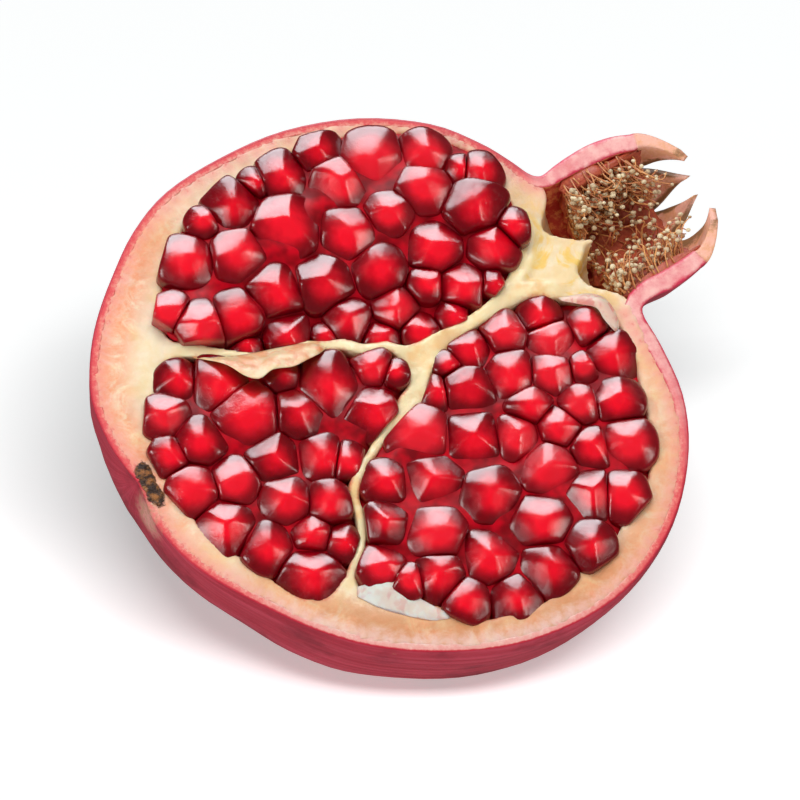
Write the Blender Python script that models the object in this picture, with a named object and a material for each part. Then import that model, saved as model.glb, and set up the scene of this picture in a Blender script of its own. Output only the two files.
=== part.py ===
"""Half a pomegranate, cut lengthwise through its stalk scar and its crown.

The fruit rests on a small flat spot of its rounded rind, with the cut face leaning back. Shapes are drawn on the
cut face, as millimetres across it (u), up it (v) and out of it (n), and are then carried into the part's frame,
which is in metres, +Z up, with its origin in the middle of the resting spot.
"""
import math
import random

import bmesh
import bpy
from mathutils import Matrix, Vector

MM = 0.001

# The cut face: the place of its middle above the resting spot, and the angle of its normal above level.
FACE_MIDDLE = Vector((-3.6, -4.5, 44.9))
FACE_TILT = math.radians(52)

# The cut edge of the fruit, in pairs of points (above, below) from the stalk scar to the mouth of the crown tube.
# Each pair is the chord of one half-round section of the fruit.
SCAR_POLE = (-40.2, -12.0)
CUT_EDGE = (
    ((-41.8, -9.2), (-39.5, -14.4)),
    ((-43.8, -4.7), (-38.6, -18.4)),
    ((-45.3, 2.1), (-36.4, -22.4)),
    ((-44.7, 8.5), (-33.6, -26.0)),
    ((-42.8, 15.1), (-29.6, -29.6)),
    ((-39.6, 22.0), (-24.0, -33.6)),
    ((-35.5, 29.0), (-17.0, -38.0)),
    ((-29.6, 35.2), (-8.8, -41.5)),
    ((-20.6, 40.2), (0.5, -43.3)),
    ((-10.5, 43.8), (10.5, -43.5)),
    ((1.0, 44.9), (20.0, -41.4)),
    ((11.8, 43.0), (28.5, -37.3)),
    ((18.9, 39.2), (35.2, -31.3)),
    ((23.0, 35.9), (40.3, -23.4)),
    ((25.4, 33.6), (43.3, -14.0)),
    ((26.8, 32.9), (43.7, -5.0)),
    ((27.9, 33.1), (41.6, 3.4)),
    ((29.6, 34.3), (39.6, 9.0)),
    ((31.9, 35.7), (41.2, 11.2)),
    ((35.3, 37.4), (44.8, 12.6)),
    ((38.9, 38.4), (47.8, 14.4)),
    ((42.0, 38.6), (50.2, 16.2)),
)

# The depth of each section against half its chord, and how much of it the first sections next to the scar have.
DEPTH_RATIO = 1.04
SCAR_DEPTHS = (0.8, 0.88, 0.94, 0.98)
RIDGES = 6
RIDGE_SWELL = 0.008
ROUND_STEPS = 24

# Walls of the rind at each pair above, then at each row of the crown's lobes.
RIND_WALL = (1.3,) * 14 + (1.5, 1.8, 2.2, 2.6, 2.9, 3.2, 3.0, 2.7)
LOBE_WALL = (2.3, 1.9, 1.6, 1.3)

# The crown's lobes, as (start, tip, end) in degrees round the tube from the upper cut edge: their length along the
# crown's axis, the share of the tube's radius by which their tips curl in, and how full their leaf shape is.
CROWN_AXIS = Vector((math.cos(math.radians(24)), math.sin(math.radians(24)), 0.0))
LOBES = ((-30.0, 7.5, 37.5), (37.5, 52.5, 75.0), (75.0, 90.0, 105.0), (105.0, 165.0, 210.0))
LOBE_LENGTH = 6.6
LOBE_CURL = 0.6
LOBE_BEND = 1.7
LOBE_FULLNESS = 0.5
LOBE_NOTCH = 0.08

# The gap that touching pieces keep.
GAP = 0.3

# The pith ends in the floor of the crown cup: rings as (share of the neck's radius, distance along the axis).
NECK_ROW = 17
CUP_FLOOR = ((0.66, -2.0), (0.42, -0.8), (0.2, -0.4))

# The torn hollows of that floor above and below its ragged flap, as outlines on the cut face, and their bowl.
CUP_HOLLOWS = (
    ((27.2, 33.4), (27.9, 29.6), (26.4, 25.0), (27.2, 23.0), (29.6, 21.9), (31.4, 21.6), (33.2, 22.2), (37.2, 24.6),
     (38.4, 33.4), (33.0, 36.4)),
    ((33.0, 21.0), (31.9, 19.0), (30.8, 17.0), (31.6, 14.8), (33.6, 13.6), (36.6, 12.4), (39.4, 10.2), (41.4, 13.2),
     (38.2, 20.6)),
)
HOLLOW_BOWL = ((-0.5, 1.0), (-4.3, 0.94), (-7.3, 0.8), (-9.3, 0.55))
HOLLOW_STEPS = 20

# The three seed chambers, as outlines on the cut face, and the bowl they sink in, as (height, share of the outline).
CHAMBERS = {
    "arils_upper": (
        (-32.5, 11.2), (-33.1, 14.9), (-32.1, 19.9), (-28.8, 27.4), (-24.3, 31.9), (-18.1, 36.3), (-10.8, 39.3),
        (-3.6, 41.4), (4.8, 41.8), (12.1, 40.2), (18.2, 36.8), (20.8, 32.8), (22.4, 27.4), (22.8, 22.7),
        (20.0, 16.7), (16.7, 13.0), (12.0, 10.0), (6.8, 7.8), (2.8, 6.3), (-0.2, 7.4), (-3.6, 7.3), (-6.7, 8.5),
        (-11.0, 8.4), (-14.4, 8.1), (-18.5, 7.5), (-22.7, 7.8), (-26.7, 9.2), (-30.0, 9.8),
    ),
    "arils_lower_left": (
        (-33.0, 7.6), (-35.1, 3.7), (-36.7, -1.1), (-36.8, -6.4), (-35.7, -11.6), (-32.9, -17.5), (-30.0, -22.7),
        (-25.2, -26.1), (-21.3, -30.3), (-18.1, -32.8), (-14.4, -33.0), (-11.7, -30.3), (-9.2, -25.9),
        (-8.3, -21.7), (-9.1, -16.5), (-7.1, -12.9), (-4.0, -8.4), (-0.8, -4.9), (0.6, -2.0), (2.4, 0.4),
        (2.2, 3.6), (-0.3, 5.9), (-4.1, 5.6), (-7.3, 6.7), (-11.3, 6.1), (-15.5, 5.4), (-20.8, 6.0),
        (-26.4, 7.1),
    ),
    "arils_lower_right": (
        (-8.5, -32.9), (-9.5, -30.3), (-7.8, -26.0), (-6.9, -21.8), (-7.4, -17.2), (-5.6, -13.0), (-2.4, -8.9),
        (1.2, -5.5), (4.6, -2.4), (6.1, 1.4), (9.0, 5.5), (13.0, 8.1), (18.0, 10.9), (22.7, 12.5), (28.5, 12.1),
        (33.1, 10.5), (36.2, 6.3), (37.6, 1.2), (37.6, -5.4), (38.1, -12.0), (35.8, -19.7), (31.8, -25.0),
        (28.5, -29.7), (23.4, -32.8), (19.0, -36.2), (14.2, -38.1), (8.0, -38.6), (3.7, -36.7), (-0.6, -34.8),
        (-4.7, -33.9),
    ),
}
CHAMBER_STEPS = 52
CHAMBER_ABOVE = 3.0
CHAMBER_BOWL = ((-0.3, 1.0), (-6.0, 0.97), (-12.0, 0.88), (-17.0, 0.7), (-20.5, 0.46))

# Rows of seeds in each chamber: how far the row stands proud, then (across, up, width) of each seed along it.
SEED_ROWS = {
    "arils_upper": (
        (4.2, ((-32.4, 14.7, 6.3), (-28.4, 22.8, 7.9), (-25.3, 28.7, 4.3), (-20.3, 31.1, 7.9), (-16.6, 34.6, 4.2),
               (-12.2, 35.5, 7.2), (-6.2, 39.1, 6.8), (1.8, 36.5, 9.6), (9.8, 37.1, 7.2), (15.0, 34.0, 4.2),
               (18.0, 33.4, 6.1), (21.5, 23.9, 5.2))),
        (5.4, ((-27.9, 11.7, 7.6), (-20.8, 23.0, 7.9), (-13.0, 27.0, 10.2), (-3.9, 33.3, 8.2), (2.9, 27.4, 6.1),
               (9.0, 31.5, 7.8), (16.3, 27.5, 8.8))),
        (4.4, ((-21.9, 13.0, 7.5), (-15.7, 16.6, 7.8), (-8.1, 17.1, 7.9), (-3.5, 24.9, 8.2), (0.4, 18.8, 7.9),
               (9.2, 21.8, 8.1), (18.1, 21.0, 7.3))),
        (3.0, ((-14.6, 9.7, 7.0), (-5.1, 11.5, 7.0), (2.2, 12.7, 6.3), (7.4, 16.0, 5.0), (12.8, 15.5, 6.9),
               (17.6, 14.7, 4.8))),
        (1.6, ((-20.8, 9.0, 3.9), (-8.9, 9.4, 3.9), (-0.5, 8.7, 5.5), (5.4, 9.0, 5.4), (11.0, 10.7, 4.6))),
    ),
    "arils_lower_left": (
        (3.0, ((-32.1, 3.7, 6.0), (-26.0, 2.7, 8.5), (-16.3, 2.9, 4.6), (-9.5, 1.0, 9.4), (-2.6, 3.3, 5.8),
               (0.6, 1.8, 3.8))),
        (3.6, ((-34.9, -2.1, 6.3), (-30.3, -6.7, 6.8), (-22.5, -2.7, 9.6), (-14.6, -3.1, 7.8), (-3.3, -3.8, 8.2))),
        (3.0, ((-35.0, -8.4, 5.5), (-32.3, -14.1, 7.8), (-25.9, -13.2, 6.9), (-19.4, -10.2, 7.2),
               (-12.3, -10.6, 6.6), (-8.4, -11.7, 5.7))),
        (3.0, ((-28.1, -20.3, 8.2), (-18.4, -17.2, 7.0), (-12.2, -18.1, 6.3))),
        (2.6, ((-22.1, -24.4, 7.2), (-15.4, -23.0, 5.8), (-10.9, -24.5, 5.1), (-16.4, -29.2, 8.4))),
    ),
    "arils_lower_right": (
        (2.4, ((6.6, -1.7, 5.2), (9.0, 2.7, 4.3), (12.5, 5.2, 6.5), (18.1, 7.5, 6.3), (24.0, 9.8, 5.8),
               (25.2, 5.6, 7.2), (30.7, 7.3, 5.1), (34.0, 2.3, 7.5))),
        (3.0, ((11.2, -1.5, 7.9), (18.0, 0.3, 7.6), (24.2, -0.2, 6.6), (29.0, 0.3, 4.2), (33.4, -5.2, 7.2))),
        (3.4, ((2.8, -8.3, 9.4), (10.9, -9.8, 8.7), (20.2, -5.2, 6.3), (27.6, -5.7, 5.7), (34.0, -12.4, 7.8))),
        (3.2, ((-3.4, -15.6, 6.3), (3.9, -15.9, 8.7), (17.6, -10.1, 6.8), (24.0, -9.0, 6.5), (28.5, -13.0, 6.1),
               (32.3, -20.9, 7.2))),
        (3.4, ((-4.3, -22.3, 6.0), (3.1, -24.5, 8.1), (12.2, -19.2, 8.2), (21.4, -15.7, 8.8),
               (27.4, -20.4, 7.0))),
        (3.0, ((-5.7, -29.2, 6.3), (-1.8, -32.0, 4.6), (2.7, -31.6, 7.0), (10.7, -28.9, 8.1), (19.2, -23.9, 8.5),
               (26.1, -28.6, 6.6))),
        (2.2, ((6.4, -35.6, 6.3), (13.7, -35.6, 6.8), (19.3, -31.3, 7.9))),
    ),
}

# A seed: its half height and that of a narrow one as a share of its radius, how much its body swells past its
# width, and the seeded variation of how far it stands proud.
SEED_HEIGHT = 5.6
SEED_HEIGHT_SHARE = 1.5
SEED_SWELL = 1.2
SEED_JITTER = 0.35
SEED_SIDES = 8
SEED_RINGS = 5
SEED_LEAST_REACH = 0.3
SEED_REACH = 3.0

# The facets on a seed's top, as (bearing, least lean, most lean) in degrees, the variation of their bearing, and
# the height at which they cross the seed's axis as a share of its half height.
SEED_FACETS = ((95, 18, 30), (220, 24, 38), (320, 24, 38))
FACET_TURN = 25
FACET_HEIGHT = 0.88
SEED_FLATNESS = math.radians(12)
SEED_SHARPNESS = math.radians(30)
RIND_SHARPNESS = math.radians(40)

# The core under the seeds: its inset from the chamber, and its top below the least proud seed.
CORE_INSET = 0.5
CORE_BELOW_SEEDS = 2.7
ABOVE_ALL_SEEDS = 14.0
CUT_TOLERANCE = 0.01

# The stamens in the crown cup: a mat on its wall, and rings of filaments with anthers, as (distance along the
# axis from the neck, count).
MAT_START = 1.2
MAT_END = 10.0
MAT_WALL = 2.0
MAT_STEPS = 8
CUP_START = 0.1
CUP_SHARE = 0.8
STAMEN_RINGS = ((2.8, 6), (6.0, 7), (8.8, 8))
STAMEN_SCATTER = 0.2
FILAMENT_SIDES = 3
FILAMENT_WIDTH = 0.9
FILAMENT_TAPER = (1.3, 1.0, 0.8)
FILAMENT_LENGTH = 4.6
FILAMENT_LENGTHS = (0.75, 1.1)
FILAMENT_LEAN = (0.1, 0.6)
FILAMENT_SWAY = 0.25
BEND_LEAN = 0.3
BEND_HEIGHT = 0.5
TIP_HEIGHT = 0.85
ANTHER_WIDTH = 1.9

# The colour, roughness and metallic value of each piece.
FINISHES = {
    "skin": ((0.42, 0.035, 0.05), 0.42, 0.0),
    "pith": ((0.93, 0.80, 0.56), 0.62, 0.0),
    "arils": ((0.40, 0.005, 0.018), 0.18, 0.0),
    "stamens": ((0.40, 0.19, 0.07), 0.8, 0.0),
}

FACE_AXES = Matrix((
    (1.0, 0.0, 0.0),
    (0.0, math.sin(FACE_TILT), -math.cos(FACE_TILT)),
    (0.0, math.cos(FACE_TILT), math.sin(FACE_TILT)),
))


def place(point):
    """Carry a point of the cut face (u, v, n) in millimetres into the part's frame in millimetres."""
    return FACE_AXES @ Vector(point) + FACE_MIDDLE


def smooth_closed(points, count):
    """Read count points, evenly spaced in parameter, from a smooth closed curve through the points."""
    total = len(points)
    result = []
    for step in range(count):
        turn = step * total / count
        index = int(turn)
        share = turn - index
        a, b, c, d = (Vector(points[(index + k - 1) % total]) for k in range(4))
        result.append(spline(a, b, c, d, share))
    return result


def spline(a, b, c, d, share):
    """Point between b and c on the smooth curve through a, b, c and d."""
    return 0.5 * (2 * b + (c - a) * share + (2 * a - 5 * b + 4 * c - d) * share ** 2
                  + (3 * b - a - 3 * c + d) * share ** 3)


def new_object(name, mesh_builder, finish):
    """Make an object from a filled bmesh, in metres, with its faces pointing out and its material."""
    bmesh.ops.recalc_face_normals(mesh_builder, faces=mesh_builder.faces)
    mesh = bpy.data.meshes.new(name)
    mesh_builder.to_mesh(mesh)
    mesh_builder.free()
    mesh.transform(Matrix.Scale(MM, 4))
    obj = bpy.data.objects.new(name, mesh)
    bpy.context.scene.collection.objects.link(obj)
    if finish is not None:
        mesh.materials.append(finish)
    return obj


def make_finish(name):
    """Principled material of one kind of tissue."""
    colour, roughness, metallic = FINISHES[name]
    material = bpy.data.materials.new(name)
    material.use_nodes = True
    shader = material.node_tree.nodes["Principled BSDF"]
    shader.inputs["Base Color"].default_value = (*colour, 1.0)
    shader.inputs["Roughness"].default_value = roughness
    shader.inputs["Metallic"].default_value = metallic
    return material


def boolean(obj, operation, other=None, collection=None):
    """Join, cut or clip an object with another object or with a collection, apply it and remove the others."""
    modifier = obj.modifiers.new(operation.lower(), "BOOLEAN")
    modifier.operation = operation
    modifier.solver = "EXACT"
    if collection is not None:
        modifier.operand_type = "COLLECTION"
        modifier.collection = collection
    else:
        modifier.object = other
    bpy.context.view_layer.update()
    evaluated = obj.evaluated_get(bpy.context.evaluated_depsgraph_get())
    mesh = bpy.data.meshes.new_from_object(evaluated)
    obj.modifiers.clear()
    old_mesh = obj.data
    obj.data = mesh
    bpy.data.meshes.remove(old_mesh)
    mesh.name = obj.name
    used = list(collection.objects) if collection is not None else [other]
    for piece in used:
        bpy.data.objects.remove(piece)
    if collection is not None:
        bpy.data.collections.remove(collection)


def section(above, below, deep, turn):
    """Point of the fruit's half-round section on one chord, at an angle round it from its upper end."""
    upper = Vector((*above, 0.0))
    lower = Vector((*below, 0.0))
    middle = (upper + lower) / 2
    half = (upper - lower) / 2
    swell = 1 + RIDGE_SWELL * math.cos(2 * RIDGES * turn)
    depth = half.length * DEPTH_RATIO * deep * swell * math.sin(turn)
    return middle + half * math.cos(turn) * (swell if 0 < turn < math.pi else 1) - Vector((0, 0, depth))


def lobe_share(turn):
    """Share of the lobe length that the crown has at an angle round its tube."""
    angle = math.degrees(turn)
    for start, tip, end in LOBES:
        if start <= angle <= end:
            rise = (angle - start) / (tip - start) if angle <= tip else (end - angle) / (end - tip)
            return max(LOBE_NOTCH, rise ** LOBE_FULLNESS)
    return LOBE_NOTCH


def rind_rows():
    """Rows of points of the rind's outer surface, from the first ring at the scar to the tips of the crown."""
    turns = [math.pi * step / ROUND_STEPS for step in range(ROUND_STEPS + 1)]
    depths = SCAR_DEPTHS + (1.0,) * (len(CUT_EDGE) - len(SCAR_DEPTHS))
    rows = [[section(above, below, deep, turn) for turn in turns]
            for (above, below), deep in zip(CUT_EDGE, depths)]
    mouth = rows[-1]
    middle = (mouth[0] + mouth[-1]) / 2
    for step in range(1, len(LOBE_WALL) + 1):
        row = []
        for turn, point in zip(turns, mouth):
            share = lobe_share(turn) * step / len(LOBE_WALL)
            inward = 1 - LOBE_CURL * share ** LOBE_BEND
            row.append(middle + (point - middle) * inward + CROWN_AXIS * LOBE_LENGTH * share)
        rows.append(row)
    return rows


def row_normals(rows, pole):
    """Outward direction of the rind's surface at each point of its rows."""
    normals = []
    for index, row in enumerate(rows):
        before = rows[index - 1] if index else [pole] * len(row)
        after = rows[min(index + 1, len(rows) - 1)]
        line = []
        for step, point in enumerate(row):
            along = after[step] - before[step]
            ahead = row[min(step + 1, len(row) - 1)]
            behind = row[max(step - 1, 0)]
            across = ahead - behind
            if step in (0, len(row) - 1):
                across = Vector((0, 0, -1 if step == 0 else 1))
            normal = along.cross(across).normalized()
            line.append(normal)
        normals.append(line)
    return normals


def inset_rows(rows, normals, walls, lift):
    """Rows set in from the rind's surface by its walls, and kept a wall above the resting spot."""
    result = []
    for row, line, wall in zip(rows, normals, walls):
        inner = []
        for point, normal in zip(row, line):
            world = place(point - normal * (wall + lift))
            world.z = max(world.z, wall + lift)
            inner.append(world)
        result.append(inner)
    return result


def add_rows(builder, rows, pole):
    """Add a pole and rows of points to a mesh, with the faces between them."""
    tip = builder.verts.new(pole)
    lines = [[builder.verts.new(point) for point in row] for row in rows]
    for first, second in zip(lines[0], lines[0][1:]):
        builder.faces.new((tip, first, second))
    for low, high in zip(lines, lines[1:]):
        for step in range(len(low) - 1):
            builder.faces.new((low[step], low[step + 1], high[step + 1], high[step]))
    return tip, lines


def build_skin(finish):
    """The leathery rind with the crown tube and its lobes: one shell, open at the cut face and at the mouth."""
    rows = rind_rows()
    pole = Vector((*SCAR_POLE, 0.0))
    normals = row_normals(rows, pole)
    outer = [[place(point) for point in row] for row in rows]
    inner = inset_rows(rows, normals, RIND_WALL + LOBE_WALL, 0.0)
    builder = bmesh.new()
    outer_tip, outer_lines = add_rows(builder, outer, place(pole))
    inner_pole = place(pole + CROWN_AXIS * RIND_WALL[0])
    inner_tip, inner_lines = add_rows(builder, inner, inner_pole)
    for side in (0, -1):
        builder.faces.new((outer_tip, outer_lines[0][side], inner_lines[0][side], inner_tip))
        for index in range(len(outer_lines) - 1):
            builder.faces.new((
                outer_lines[index][side], outer_lines[index + 1][side],
                inner_lines[index + 1][side], inner_lines[index][side],
            ))
    for step in range(ROUND_STEPS):
        builder.faces.new((
            outer_lines[-1][step], outer_lines[-1][step + 1], inner_lines[-1][step + 1], inner_lines[-1][step],
        ))
    cut = bmesh.ops.bisect_plane(
        builder, geom=list(builder.verts) + list(builder.edges) + list(builder.faces),
        dist=0.001, plane_co=(0, 0, 0), plane_no=(0, 0, -1), clear_outer=True,
    )
    rim = [item for item in cut["geom_cut"] if isinstance(item, bmesh.types.BMEdge)]
    bmesh.ops.holes_fill(builder, edges=rim, sides=0)
    skin = new_object("skin", builder, finish)
    skin.data.shade_smooth()
    skin.data.set_sharp_from_angle(angle=RIND_SHARPNESS)


def offset_outline(points, inset):
    """Set a closed outline in by a distance, along its own normals."""
    middle = sum(points, Vector((0.0, 0.0))) / len(points)
    result = []
    for index, point in enumerate(points):
        along = (points[(index + 1) % len(points)] - points[index - 1]).normalized()
        inward = Vector((-along.y, along.x))
        if inward.dot(middle - point) < 0:
            inward = -inward
        result.append(point + inward * inset)
    return result


def chamber_solid(name, inset, top):
    """Closed bowl in the shape of one seed chamber, from a level above the cut face down to its rounded floor."""
    outline = offset_outline(smooth_closed(CHAMBERS[name], CHAMBER_STEPS), inset)
    return bowl_solid(name + "_bowl", outline, CHAMBER_BOWL, inset, top)


def bowl_solid(name, outline, bowl, inset, top):
    """Closed bowl with an outline on the cut face, from a level above the face down through the bowl's levels."""
    middle = sum(outline, Vector((0.0, 0.0))) / len(outline)
    levels = [(top, 1.0)] + [level for level in bowl if level[0] < top - GAP]
    builder = bmesh.new()
    rings = []
    for height, share in levels:
        ring = [middle + (point - middle) * share for point in outline]
        rings.append([builder.verts.new(place((point.x, point.y, height + inset))) for point in ring])
    builder.faces.new(rings[0])
    builder.faces.new(rings[-1])
    for high, low in zip(rings, rings[1:]):
        for step in range(len(high)):
            after = (step + 1) % len(high)
            builder.faces.new((high[step], high[after], low[after], low[step]))
    return new_object(name, builder, None)


def build_pith(finish):
    """The pale pith with the walls between the chambers, and the floor of the crown cup."""
    rows = rind_rows()
    pole = Vector((*SCAR_POLE, 0.0))
    normals = row_normals(rows, pole)
    walls = RIND_WALL[:NECK_ROW + 1]
    body = inset_rows(rows[:NECK_ROW + 1], normals, walls, GAP)
    neck = body[-1]
    neck_middle = (neck[0] + neck[-1]) / 2
    axis = FACE_AXES @ CROWN_AXIS
    for share, distance in CUP_FLOOR:
        body.append([neck_middle + (point - neck_middle) * share + axis * distance for point in neck])
    builder = bmesh.new()
    inner_pole = place(pole + CROWN_AXIS * (RIND_WALL[0] + GAP))
    start, lines = add_rows(builder, body, inner_pole)
    end = builder.verts.new(neck_middle + axis * CUP_FLOOR[-1][1])
    for first, second in zip(lines[-1], lines[-1][1:]):
        builder.faces.new((end, second, first))
    upper_edge = [line[0] for line in lines]
    lower_edge = [line[-1] for line in reversed(lines)]
    builder.faces.new([start, *upper_edge, end, *lower_edge])
    pith = new_object("pith", builder, finish)
    for name in CHAMBERS:
        boolean(pith, "DIFFERENCE", other=chamber_solid(name, 0.0, CHAMBER_ABOVE))
    for outline in CUP_HOLLOWS:
        hollow = bowl_solid("hollow", smooth_closed(outline, HOLLOW_STEPS), HOLLOW_BOWL, 0.0, CHAMBER_ABOVE)
        boolean(pith, "DIFFERENCE", other=hollow)
    pith.data.set_sharp_from_angle(angle=RIND_SHARPNESS)


def seeds_of(name, chance):
    """Places, radii and heights of the seeds in one chamber, row by row."""
    seeds = []
    for proud, row in SEED_ROWS[name]:
        for across, up, width in row:
            seeds.append((Vector((across, up)), width / 2, proud + chance.uniform(-1, 1) * SEED_JITTER))
    return seeds


def half_height(radius):
    """Half height of a seed of the given radius."""
    return min(SEED_HEIGHT, radius * SEED_HEIGHT_SHARE)


def side_planes(seed, others, centre):
    """Planes that press a seed flat against its neighbours, as (point, outward direction)."""
    spot, radius, _ = seed
    planes = []
    for other_spot, other_radius, _ in others:
        apart = Vector((*(other_spot - spot), 0.0))
        reach = (apart.length ** 2 + radius ** 2 - other_radius ** 2) / (2 * apart.length) - GAP / 2
        if reach < radius * SEED_SWELL:
            normal = apart.normalized()
            planes.append((centre + normal * max(reach, radius * SEED_LEAST_REACH), normal))
    return planes


def top_planes(centre, tall, chance):
    """Planes of the facets on a seed's top, as (point, outward direction)."""
    planes = []
    for bearing, least, most in SEED_FACETS:
        turn = math.radians(bearing + chance.uniform(-FACET_TURN, FACET_TURN))
        lean = math.radians(chance.uniform(least, most))
        normal = Vector((math.cos(turn) * math.sin(lean), math.sin(turn) * math.sin(lean), math.cos(lean)))
        planes.append((centre + Vector((0.0, 0.0, tall * FACET_HEIGHT)), normal))
    return planes


def seed_cell(seed, others, chance):
    """One seed: a rounded body pressed flat by its neighbours at the sides and by facets on top."""
    spot, radius, proud = seed
    builder = bmesh.new()
    bmesh.ops.create_uvsphere(builder, u_segments=SEED_SIDES, v_segments=SEED_RINGS, radius=1.0)
    tall = half_height(radius)
    centre = Vector((*spot, proud - tall * FACET_HEIGHT))
    turn = Matrix.Rotation(chance.uniform(0, math.tau), 3, "Z")
    wide = radius * SEED_SWELL
    for vert in builder.verts:
        shape = turn @ vert.co
        vert.co = centre + Vector((shape.x * wide, shape.y * wide, shape.z * tall))
    for point, normal in side_planes(seed, others, centre) + top_planes(centre, tall, chance):
        cut = bmesh.ops.bisect_plane(
            builder, geom=list(builder.verts) + list(builder.edges) + list(builder.faces),
            dist=CUT_TOLERANCE, plane_co=point, plane_no=normal, clear_outer=True,
        )
        rim = [item for item in cut["geom_cut"] if isinstance(item, bmesh.types.BMEdge)]
        if rim:
            bmesh.ops.holes_fill(builder, edges=rim, sides=0)
    bmesh.ops.dissolve_limit(
        builder, angle_limit=SEED_FLATNESS, verts=list(builder.verts), edges=list(builder.edges),
    )
    bmesh.ops.triangulate(builder, faces=list(builder.faces))
    for vert in builder.verts:
        vert.co = place(vert.co)
    return new_object("seed", builder, None)


def build_seeds(name, finish, chance):
    """The seeds of one chamber, fused on a smaller core that fills the chamber under them."""
    seeds = seeds_of(name, chance)
    group = bpy.data.collections.new(name)
    bpy.context.scene.collection.children.link(group)
    for index, seed in enumerate(seeds):
        near = [other for k, other in enumerate(seeds) if k != index
                and (other[0] - seed[0]).length < other[1] + seed[1] + SEED_REACH]
        cell = seed_cell(seed, near, chance)
        bpy.context.scene.collection.objects.unlink(cell)
        group.objects.link(cell)
    top = min(proud for _, _, proud in seeds) - CORE_BELOW_SEEDS
    core = chamber_solid(name, CORE_INSET, top)
    core.name = name
    core.data.materials.append(finish)
    boolean(core, "UNION", collection=group)
    boolean(core, "INTERSECT", other=chamber_solid(name, GAP, ABOVE_ALL_SEEDS))
    core.data.set_sharp_from_angle(angle=SEED_SHARPNESS)


def cup_point(distance, turn, inward):
    """Point in the crown cup: along the tube from the neck, round it, and in from the tube's outer surface."""
    chords = [(Vector((*above, 0.0)), Vector((*below, 0.0))) for above, below in CUT_EDGE[NECK_ROW:]]
    left = distance
    for low, high in zip(chords, chords[1:]):
        step = ((sum(high, Vector()) - sum(low, Vector())) / 2).length
        if left <= step or high is chords[-1]:
            break
        left -= step
    above = low[0].lerp(high[0], left / step)
    below = low[1].lerp(high[1], left / step)
    half = (above - below) / 2
    radius = half.length - inward
    side = half.normalized() * radius * math.cos(turn)
    return (above + below) / 2 + side - Vector((0, 0, radius * math.sin(turn)))


def build_mat():
    """The mat of filament roots that lines the crown cup."""
    builder = bmesh.new()
    rings = []
    wall = max(RIND_WALL) + 2 * GAP
    for distance, inward in ((MAT_START, wall), (MAT_END, wall), (MAT_END, wall + MAT_WALL),
                             (MAT_START, wall + MAT_WALL)):
        ring = []
        for step in range(MAT_STEPS + 1):
            turn = math.pi * (CUP_START + CUP_SHARE * step / MAT_STEPS)
            ring.append(builder.verts.new(place(cup_point(distance, turn, inward))))
        rings.append(ring)
    for index, ring in enumerate(rings):
        after = rings[(index + 1) % len(rings)]
        for step in range(MAT_STEPS):
            builder.faces.new((ring[step], ring[step + 1], after[step + 1], after[step]))
    for side in (0, -1):
        builder.faces.new([ring[side] for ring in rings])
    return builder


def stamen(root, middle, tip):
    """One stamen: a bent three-sided filament with a faceted anther on its end."""
    builder = bmesh.new()
    rings = []
    along = (tip - root).normalized()
    for point, share in zip((root, middle, tip), FILAMENT_TAPER):
        across = along.orthogonal().normalized() * FILAMENT_WIDTH * share / 2
        sides = [Matrix.Rotation(math.tau * side / FILAMENT_SIDES, 3, along) @ across
                 for side in range(FILAMENT_SIDES)]
        rings.append([builder.verts.new(point + side) for side in sides])
    builder.faces.new(rings[0])
    builder.faces.new(rings[-1])
    for low, high in zip(rings, rings[1:]):
        for step in range(FILAMENT_SIDES):
            after = (step + 1) % FILAMENT_SIDES
            builder.faces.new((low[step], low[after], high[after], high[step]))
    filament = new_object("filament", builder, None)
    builder = bmesh.new()
    bmesh.ops.create_icosphere(builder, subdivisions=1, radius=ANTHER_WIDTH / 2, matrix=Matrix.Translation(tip))
    return filament, new_object("anther", builder, None)


def build_stamens(finish, chance):
    """The dried stamens in the crown cup, fused on their mat."""
    mat = new_object("stamens", build_mat(), finish)
    group = bpy.data.collections.new("stamen_parts")
    bpy.context.scene.collection.children.link(group)
    root_depth = max(RIND_WALL) + 2 * GAP + MAT_WALL / 2
    for distance, count in STAMEN_RINGS:
        for step in range(count):
            spread = (step + 0.5 + chance.uniform(-1, 1) * STAMEN_SCATTER) / count
            turn = math.pi * (CUP_START + CUP_SHARE * spread)
            lean = chance.uniform(*FILAMENT_LEAN)
            reach = FILAMENT_LENGTH * chance.uniform(*FILAMENT_LENGTHS)
            sway = chance.uniform(-1, 1) * FILAMENT_SWAY
            root = place(cup_point(distance, turn, root_depth))
            bend = place(cup_point(distance + reach * lean * BEND_LEAN, turn, root_depth + reach * BEND_HEIGHT))
            tip = place(cup_point(distance + reach * lean, turn + sway, root_depth + reach * TIP_HEIGHT))
            for piece in stamen(root, bend, tip):
                bpy.context.scene.collection.objects.unlink(piece)
                group.objects.link(piece)
    boolean(mat, "UNION", collection=group)


def main():
    """Clear the scene and build the half fruit."""
    for obj in list(bpy.data.objects):
        bpy.data.objects.remove(obj)
    build_skin(make_finish("skin"))
    build_pith(make_finish("pith"))
    aril_finish = make_finish("arils")
    for number, name in enumerate(CHAMBERS):
        build_seeds(name, aril_finish, random.Random(20 + number))
    build_stamens(make_finish("stamens"), random.Random(7))


main()
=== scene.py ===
"""The looks of half a pomegranate, lying cut face up on a pale floor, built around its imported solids.

Shapes are drawn on the cut face, in millimetres across it (u), up it (v) and out of it (n), and are then carried
into the frame of the solids, which is in metres.
"""

import logging
import math
import random
from dataclasses import dataclass, field
from enum import Enum

import bpy
import numpy as np
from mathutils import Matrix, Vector, noise


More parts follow.
